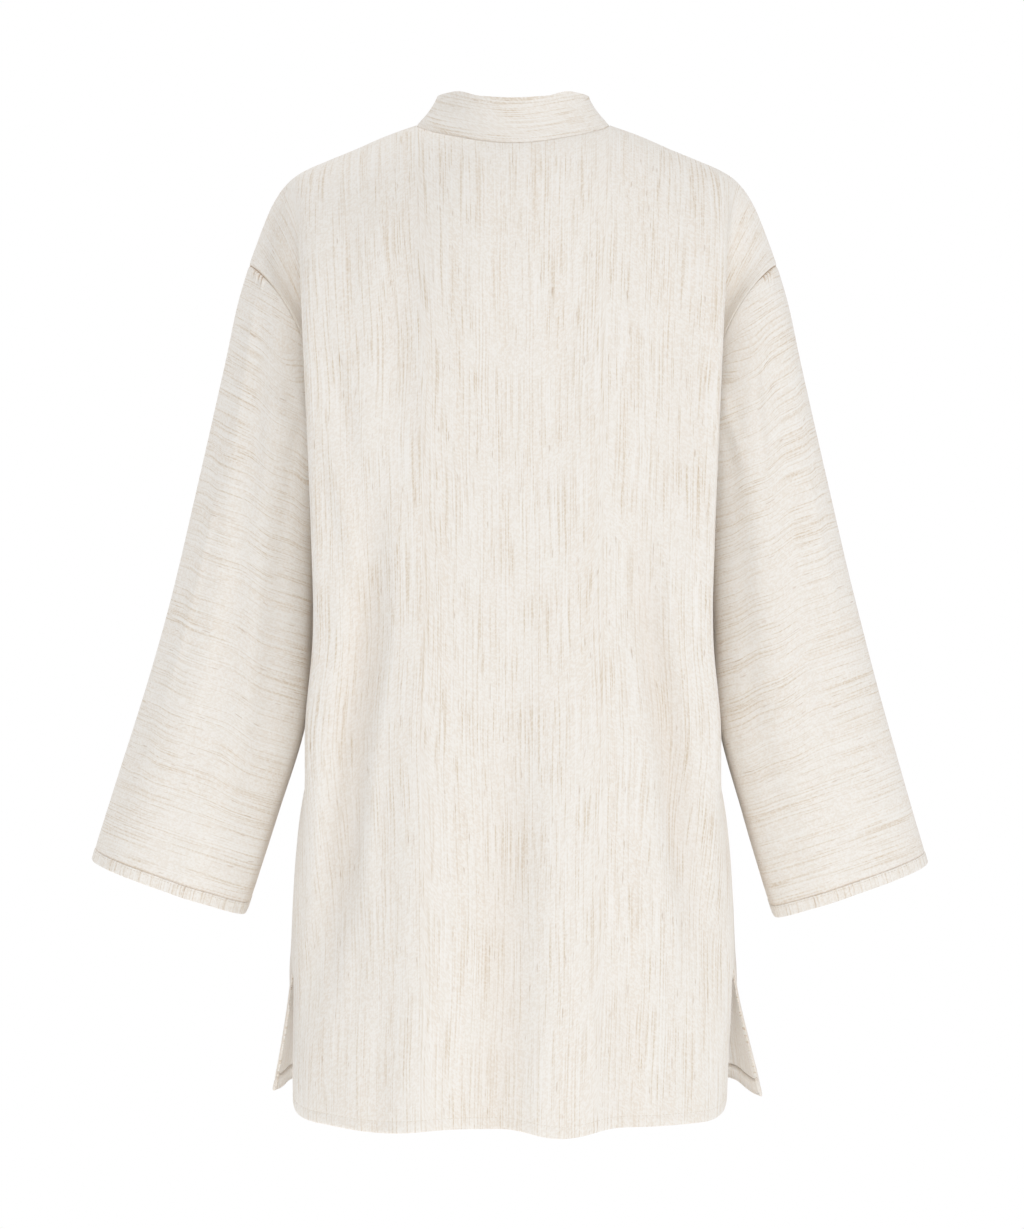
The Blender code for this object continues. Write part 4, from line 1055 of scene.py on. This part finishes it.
# %% Slit facings
FACING_WIDTH = 9.6
FACING_DEPTH = 1.5  # from the front's outer face to the facing's
FACING_RISE, FACING_EDGE = 0.35, 0.8  # its middle stands proud of its turned edges, away from the front
FACING_THICKNESS = 0.8


def make_facing(side, name, offset):
    """The strip lies inside the front's edge, a little in from it, and its long edges are turned under."""
    cloth = np.concatenate((-HALF_COLUMNS[::-1], HALF_COLUMNS))
    columns = np.flatnonzero((np.sign(cloth) == side) & (PANEL_HALF - np.abs(cloth) <= FACING_WIDTH))
    columns = columns[np.argsort(np.abs(cloth[columns]))]
    first = np.flatnonzero(front_grid[:, columns[-1], 2] < SLIT_TOP_Z - 1)[0]
    rows = slice(first, len(front_grid) - 2)
    grid, normals = front_grid[rows][:, columns], front_normals[rows][:, columns]
    from_side = PANEL_HALF - np.abs(cloth[columns])
    from_edge = np.minimum(from_side - FACING_EDGE, FACING_WIDTH - from_side)
    rise = FACING_RISE * ramp(from_edge / (2 * FACING_EDGE))
    grid = grid - normals * (FACING_DEPTH + rise)[None, :, None]
    u = distance_along(grid, 0)
    uv = np.stack((u, np.broadcast_to(from_side, u.shape)), axis=-1) + offset
    return thicken(grid_mesh(name, grid, uv, outwards=side == RIGHT), FACING_THICKNESS)


facings = {side: make_facing(side, f"{word}_slit_facing", (700 * side + 3100, 4400)) for side, word in SIDES}

# %% [markdown]
# ## The stitches
# Machine stitches show as a row of small, slightly sunken seed shapes. One is modelled and copied along
# each line: the hem, the slits, the base and the top of the collar and the upper edge of each binding.

# %% One stitch
STITCH_PITCH = 3.0
STITCH_LENGTH = 2.3
STITCH_SHAPE = (1.0, 0.17, 0.13)  # along, across and up
STITCH_REACH = 0.8  # how far to both sides the line's direction is taken

bpy.ops.object.select_all(action="DESELECT")
radius = 0.5 * STITCH_LENGTH * MM
bpy.ops.mesh.primitive_uv_sphere_add(segments=6, ring_count=5, radius=radius, location=(0, 0, 0))
seed = bpy.context.object
bpy.ops.object.mode_set(mode="EDIT")
bpy.ops.mesh.select_all(action="SELECT")
bpy.ops.transform.rotate(value=math.pi / 2, orient_axis="Y", center_override=(0, 0, 0))
bpy.ops.transform.resize(value=STITCH_SHAPE, center_override=(0, 0, 0))
bpy.ops.object.mode_set(mode="OBJECT")
SEED_POINTS = np.array([tuple(vertex.co) for vertex in seed.data.vertices]) / MM
SEED_FACES = [tuple(face.vertices) for face in seed.data.polygons]
bpy.data.objects.remove(seed)
print("one stitch has", len(SEED_FACES), "faces")

# %% Rows of stitches
def stitch_line(points, normals, closed=False):
    """The corners of a stitch for every few millimetres of a line on the cloth."""
    if closed:
        points, normals = np.concatenate((points, points[:1])), np.concatenate((normals, normals[:1]))
    along = lengths_along(points)
    places = np.arange(STITCH_PITCH / 2, along[-1] - STITCH_PITCH / 2, STITCH_PITCH)

    def at(values, distance):
        return np.column_stack([np.interp(distance, along, values[:, k]) for k in range(3)])

    forward = unit(at(points, places + STITCH_REACH) - at(points, places - STITCH_REACH))
    side = unit(np.cross(at(normals, places), forward))
    axes = np.stack((forward, side, np.cross(forward, side)), axis=1)
    return at(points, places)[:, None] + np.einsum("pk,nkj->npj", SEED_POINTS, axes)


def stitch_piece(name, lines):
    stitches = np.concatenate([stitch_line(*line) for line in lines])
    starts = range(0, len(stitches) * len(SEED_POINTS), len(SEED_POINTS))
    faces = [tuple(corner + start for corner in face) for start in starts for face in SEED_FACES]
    print(name, "has", len(stitches), "stitches")
    return new_piece(name, stitches, faces)


def panel_stitch_lines(face, grid, normals):
    """Along the hem and up both slits."""
    hem_row = -1 - int(np.flatnonzero(HEM_STEPS == HEM_STITCH)[0])
    column = int(np.flatnonzero(EDGE_STEPS == SLIT_STITCH[face])[0])
    rows = slice(np.flatnonzero(grid[:, -1, 2] < SLIT_TOP_Z)[0], hem_row)
    places = ((hem_row, slice(column, -column - 1)), (rows, column), (rows, -column - 1))
    return [(grid[place], normals[place]) for place in places]


def collar_stitch_lines():
    heights = distance_along(collar_rows[::-1], 0)[::-1].mean(axis=1)
    for wanted in (COLLAR_STITCHES[0], heights[0] - COLLAR_STITCHES[1]):
        row = int(np.argmin(np.abs(heights - wanted)))
        yield collar_rows[row, 3:-3], collar_normals[row, 3:-3]


stitching = {
    back: stitch_piece("back_stitching", panel_stitch_lines(BACK, back_grid, back_normals)),
    front: stitch_piece("front_stitching", panel_stitch_lines(FRONT, front_grid, front_normals)),
    collar: stitch_piece("collar_stitching", collar_stitch_lines()),
}
for side, word in SIDES:
    binding, points, normals = bindings[side]
    stitching[binding] = stitch_piece(f"{word}_binding_stitching", [(points, normals, True)])

# %% [markdown]
# ## The linen
# Slub linen is woven from uneven yarns. Seen close, it is a creamy cloth with thin brown and taupe dashes
# where a darker yarn surfaces, each a millimetre wide and up to several centimetres long, broken and
# knotted along its length, and with wider, fainter bands of tan and of lighter yarn. An image could show
# this, but noise does it at any size: noise that is stretched thirty to sixty times along the yarn and
# cut off at a threshold leaves just such dashes. The UV map is in metres of cloth, so one unit of U or V
# is a metre.

# %% Building a linen
CREAM = (0.836, 0.789, 0.727, 1.0)
CREAM_WARM = (0.800, 0.722, 0.640, 1.0)
CREAM_LIGHT = (0.910, 0.888, 0.855, 1.0)


def wire(node, inputs):
    """Gives a node's sockets their numbers, their colours or other nodes' outputs."""
    for socket, value in inputs.items():
        if isinstance(value, bpy.types.NodeSocket):
            node.id_data.links.new(value, node.inputs[socket])
        else:
            node.inputs[socket].default_value = value
    return node


def new_material(name):
    material = bpy.data.materials.new(name)
    material.use_nodes = True
    return material, material.node_tree.nodes


class Weave:
    """The nodes of one linen."""

    def __init__(self, name):
        self.material, self.nodes = new_material(name)
        cloth = self.add("UVMap")
        cloth.uv_map = "cloth"
        self.cloth = cloth.outputs["UV"]

    def add(self, kind, inputs=None):
        return wire(self.nodes.new("ShaderNode" + kind), inputs or {})

    def wobble(self, size, amount):
        """Bends the yarns a little, so that none runs dead straight."""
        texture = self.add("TexNoise", {"Scale": size, "Vector": self.cloth})
        bend = self.add("VectorMath")
        bend.operation = "MULTIPLY_ADD"
        wire(bend, {0: texture.outputs["Color"], 1: (amount, 0.0, 0.0), 2: self.cloth})
        self.cloth = bend.outputs["Vector"]

    def painted_shade_and_hem_line(self):
        """The painted shade in seams, gather hollows, fold troughs and beside the body, and a brownish line at
        the turned hem's stitched edge, from the piece's own attribute.
        """
        attribute = self.add("Attribute")
        attribute.attribute_name = "painted_shade_and_hem_line"
        return attribute.outputs["Fac"]

    def noise(self, across, along, place, detail=1.0):
        """Noise with this many features to a metre across and along the yarn."""
        start = (place, place * 0.37, place * 0.71)  # a place of its own in the noise
        mapping = self.add("Mapping", {"Scale": (across, along, 1.0), "Location": start, "Vector": self.cloth})
        texture = self.add("TexNoise", {"Scale": 1.0, "Detail": detail, "Vector": mapping.outputs["Vector"]})
        return texture.outputs["Fac"]

    def between(self, value, low, high, to_low=0.0, to_high=1.0):
        node = self.add("MapRange")
        node.interpolation_type = "SMOOTHSTEP"
        inputs = {"Value": value, "From Min": low, "From Max": high, "To Min": to_low, "To Max": to_high}
        return wire(node, inputs).outputs["Result"]

    def math(self, operation, a, b):
        node = self.add("Math")
        node.operation = operation
        return wire(node, {0: a, 1: b}).outputs["Value"]

    def tint(self, factor, a, b):
        node = self.add("Mix")
        node.data_type = "RGBA"
        return wire(node, {0: factor, 6: a, 7: b}).outputs[2]


print("cream:", CREAM[:3])

# %% The linens
TAN_FAINT = (0.760, 0.650, 0.530, 1.0)
BROWN_SOFT = (0.555, 0.413, 0.246, 1.0)
BROWN_DARK = (0.400, 0.245, 0.125, 1.0)
# the tone of the painted shade, and of the line at the turned hem's stitched edge
PAINTED_SHADE_AND_HEM_LINE_TAN = (0.520, 0.370, 0.240, 1.0)

# features to a metre across and along the yarns, place in the noise, detail, then from which to which
# value of the noise the cover grows, and its least and its most
LAYERS = {
    "long brown": (700, 11, 0.0, 0.5, 0.56, 0.74, 0.0, 0.56),  # long thin lines of a darker yarn
    "short brown": (740, 22, 14.0, 0.5, 0.60, 0.78, 0.0, 0.72),
    "dark brown": (640, 70, 44.0, 0.5, 0.72, 0.82, 0.0, 0.45),  # a few dark dashes
    "beads": (560, 420, 31.0, 1.0, 0.36, 0.60, 0.40, 1.0),  # these two break the lines up
    "parts": (30, 10, 57.0, 1.0, 0.36, 0.60, 0.66, 1.0),
    "pale": (700, 11, 0.0, 0.5, 0.43, 0.27, 0.0, 0.60),  # pale lines between the brown ones
    "bands": (95, 4, 11.0, 2.0, 0.46, 0.70, 0.0, 0.24),
    "mottle": (600, 540, 5.0, 1.0, 0.34, 0.66, 0.0, 0.66),
    "clouds": (30, 22, 23.0, 2.0, 0.38, 0.66, 0.0, 0.16),
}
THREADS = ((2300, 420, 3.0), (420, 2300, 8.0))  # the fine threads both ways


def make_linen(name, shade=CREAM, brown=0.8):
    """A linen of this shade. brown is how strong its brown lines are."""
    weave = Weave(name)
    weave.wobble(size=12.0, amount=0.003)
    cover = {}
    for layer, (across, along, place, detail, low, high, least, most) in LAYERS.items():
        most = most * brown if "brown" in layer else most
        cover[layer] = weave.between(weave.noise(across, along, place, detail), low, high, least, most)
    unbroken = weave.math("MAXIMUM", cover["long brown"], cover["short brown"])
    lines = weave.math("MULTIPLY", unbroken, weave.math("MULTIPLY", cover["beads"], cover["parts"]))
    colour = shade
    # the last tone is painted shade in seams, hollows and folds, and the brownish hem line, from the piece's
    # attribute
    for factor, tone in (
        (cover["clouds"], CREAM_WARM), (cover["bands"], TAN_FAINT), (cover["mottle"], CREAM_LIGHT),
        (cover["pale"], CREAM_LIGHT), (lines, BROWN_SOFT), (cover["dark brown"], BROWN_DARK),
        (weave.painted_shade_and_hem_line(), PAINTED_SHADE_AND_HEM_LINE_TAN),
    ):
        colour = weave.tint(factor, colour, tone)
    # the threads, and slubs that stand up a little
    threads = weave.math("ADD", *(weave.noise(*thread) for thread in THREADS))
    height = weave.math("ADD", weave.math("MULTIPLY", threads, 0.35), weave.math("MULTIPLY", cover["pale"], 0.8))
    height = weave.math("ADD", height, weave.math("MULTIPLY", lines, 0.9))
    relief = weave.add("Bump", {"Strength": 0.35, "Distance": 0.0004, "Height": height})
    wire(weave.nodes["Principled BSDF"], {
        "Base Color": colour,
        "Normal": relief.outputs["Normal"],
        "Roughness": weave.between(threads, 0.7, 1.3, 0.96, 0.84),
        "Specular IOR Level": 0.25,
        "Sheen Weight": 0.10,
        "Sheen Roughness": 0.6,
    })
    return weave.material


linen = make_linen("slub linen")
linen_facing = make_linen("slub linen facing", shade=(0.840, 0.785, 0.710, 1.0), brown=1.6)
for piece in (back, front, collar, *sleeves.values(), *(made[0] for made in bindings.values())):
    piece.data.materials.append(linen)
for piece in facings.values():
    piece.data.materials.append(linen_facing)
print("linens:", linen.name, "and", linen_facing.name)

# %% [markdown]
# The thread is spun from the same linen, a little lighter than the cloth.

# %% Thread
thread, thread_nodes = new_material("linen thread")
place = thread_nodes.new("ShaderNodeTexCoord").outputs["Object"]
twist = wire(thread_nodes.new("ShaderNodeTexNoise"), {"Scale": 1400.0, "Detail": 2.0, "Vector": place})
tones = wire(thread_nodes.new("ShaderNodeValToRGB"), {"Fac": twist.outputs["Fac"]})
tones.color_ramp.elements[0].color = (0.62, 0.53, 0.43, 1.0)
tones.color_ramp.elements[1].color = (0.84, 0.78, 0.70, 1.0)
wire(thread_nodes["Principled BSDF"], {"Base Color": tones.outputs["Color"], "Roughness": 0.8})
for piece in stitching.values():
    piece.data.materials.append(thread)
print("thread on", len(stitching), "pieces")

# %% [markdown]
# ## The body and the hidden solids
# Every piece rides on the one body. Each sheet replaces the solid it was made from, which is hidden.

# %% Bodies and sheets
sheets = [  # piece, node, what it hangs on, width and length of the cut, area where the cut isn't a rectangle
    (back, "back", ["front"], (0.57, 0.90), 0.44),
    (front, "front", ["back"], (0.57, 0.90), 0.44),
    (collar, "collar", ["back", "front"], (0.36, 0.042), None),
]
for side, word in SIDES:
    sheets += [
        (sleeves[side], f"sleeve_{word}", ["back"], (0.43, 0.53), 0.185),
        (bindings[side][0], f"cuff_binding_{word}", [f"sleeve_{word}"], (0.30, 0.022), None),
        (facings[side], f"slit_facing_{word}", ["front"], (0.0105, 0.105), None),
    ]
for piece, node, rests_on, flat, area in sheets:
    with_pieces = [stitching[piece]] if piece in stitching else []
    for part in (piece, *with_pieces):
        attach(part, "root")
    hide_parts(node)
print(len(sheets), "sheets of cloth")

# %% [markdown]
# ## Floor, light and camera
# The tunic hangs above a plain white floor. The light is that of a pale studio: soft from everywhere, a
# little stronger from the upper right of the picture.

# %% Floor
WHITE = (1.0, 1.0, 1.0, 1.0)

bpy.ops.object.select_all(action="DESELECT")
bpy.ops.mesh.primitive_circle_add(vertices=96, radius=2.5, fill_type="NGON", location=(0, 0, -1.4))
floor = bpy.context.object
floor.name = "floor"
floor_material, floor_nodes = new_material("floor")
wire(floor_nodes["Principled BSDF"], {
    "Base Color": (0.93, 0.93, 0.92, 1.0),
    "Roughness": 0.8,
    "Emission Color": WHITE,
    "Emission Strength": 0.3,  # the floor stays pale though the room's light is low
})
floor.data.materials.append(floor_material)
print("floor at z =", floor.location.z)

# %% Light
ROOM_LIGHT = 0.50  # the wall behind the tunic shows white, and lights it by this much
world = bpy.data.worlds.new("studio")
bpy.context.scene.world = world
world.use_nodes = True
nodes = world.node_tree.nodes
room = wire(nodes["Background"], {"Color": WHITE, "Strength": ROOM_LIGHT})
wall = wire(nodes.new("ShaderNodeBackground"), {"Color": WHITE, "Strength": 1.0})
seen = nodes.new("ShaderNodeLightPath").outputs["Is Camera Ray"]
both = wire(nodes.new("ShaderNodeMixShader"), {"Fac": seen, 1: room.outputs[0], 2: wall.outputs[0]})
wire(nodes["World Output"], {"Surface": both.outputs[0]})
# name, place, height of the point it shines at, size and watts, for the side that the picture shows
LIGHTS = (
    ("broad light", (0.1, 3.6, -0.1), -0.4, 1.6, 23.5),
    ("key light", (-2.6, 1.8, 2.2), -0.3, 1.0, 38.0),
    ("top light", (-0.6, 1.6, 3.0), -0.1, 1.2, 7.0),
    ("fill light", (2.8, 1.8, -0.2), -0.5, 1.8, 8.0),
)
for face in (BACK, FRONT):  # the same light on both sides, so that the front looks as the back does
    for name, (x, y, z), shines_at, size, watts in LIGHTS:
        light = bpy.data.lights.new(f"{name} {face}", "AREA")
        light.shape, light.size, light.energy = "DISK", size, watts
        lamp = bpy.data.objects.new(light.name, light)
        bpy.context.scene.collection.objects.link(lamp)
        lamp.location = (x * face, y * face, z)
        towards = Vector((0, 0, shines_at)) - lamp.location
        lamp.rotation_euler = towards.to_track_quat("-Z", "Y").to_euler()
print("the room's light is", ROOM_LIGHT)

# %% Camera
DISTANCE = 3.2
SEEN_HEIGHT = 1.0242  # what the picture shows at the garment's middle
camera_data = bpy.data.cameras.new("camera")
camera_data.sensor_width = 36.0
camera_data.lens = camera_data.sensor_width * DISTANCE / SEEN_HEIGHT
camera_data.shift_x = -1 / 1229  # one pixel of the picture's height
camera = bpy.data.objects.new("camera", camera_data)
bpy.context.scene.collection.objects.link(camera)
camera.location = (0.0, DISTANCE, -0.408)
camera.rotation_euler = (math.pi / 2, 0.0, math.pi)
bpy.context.scene.camera = camera
bpy.context.scene.view_settings.view_transform = "Standard"
print("camera lens", round(camera_data.lens, 1), "mm")
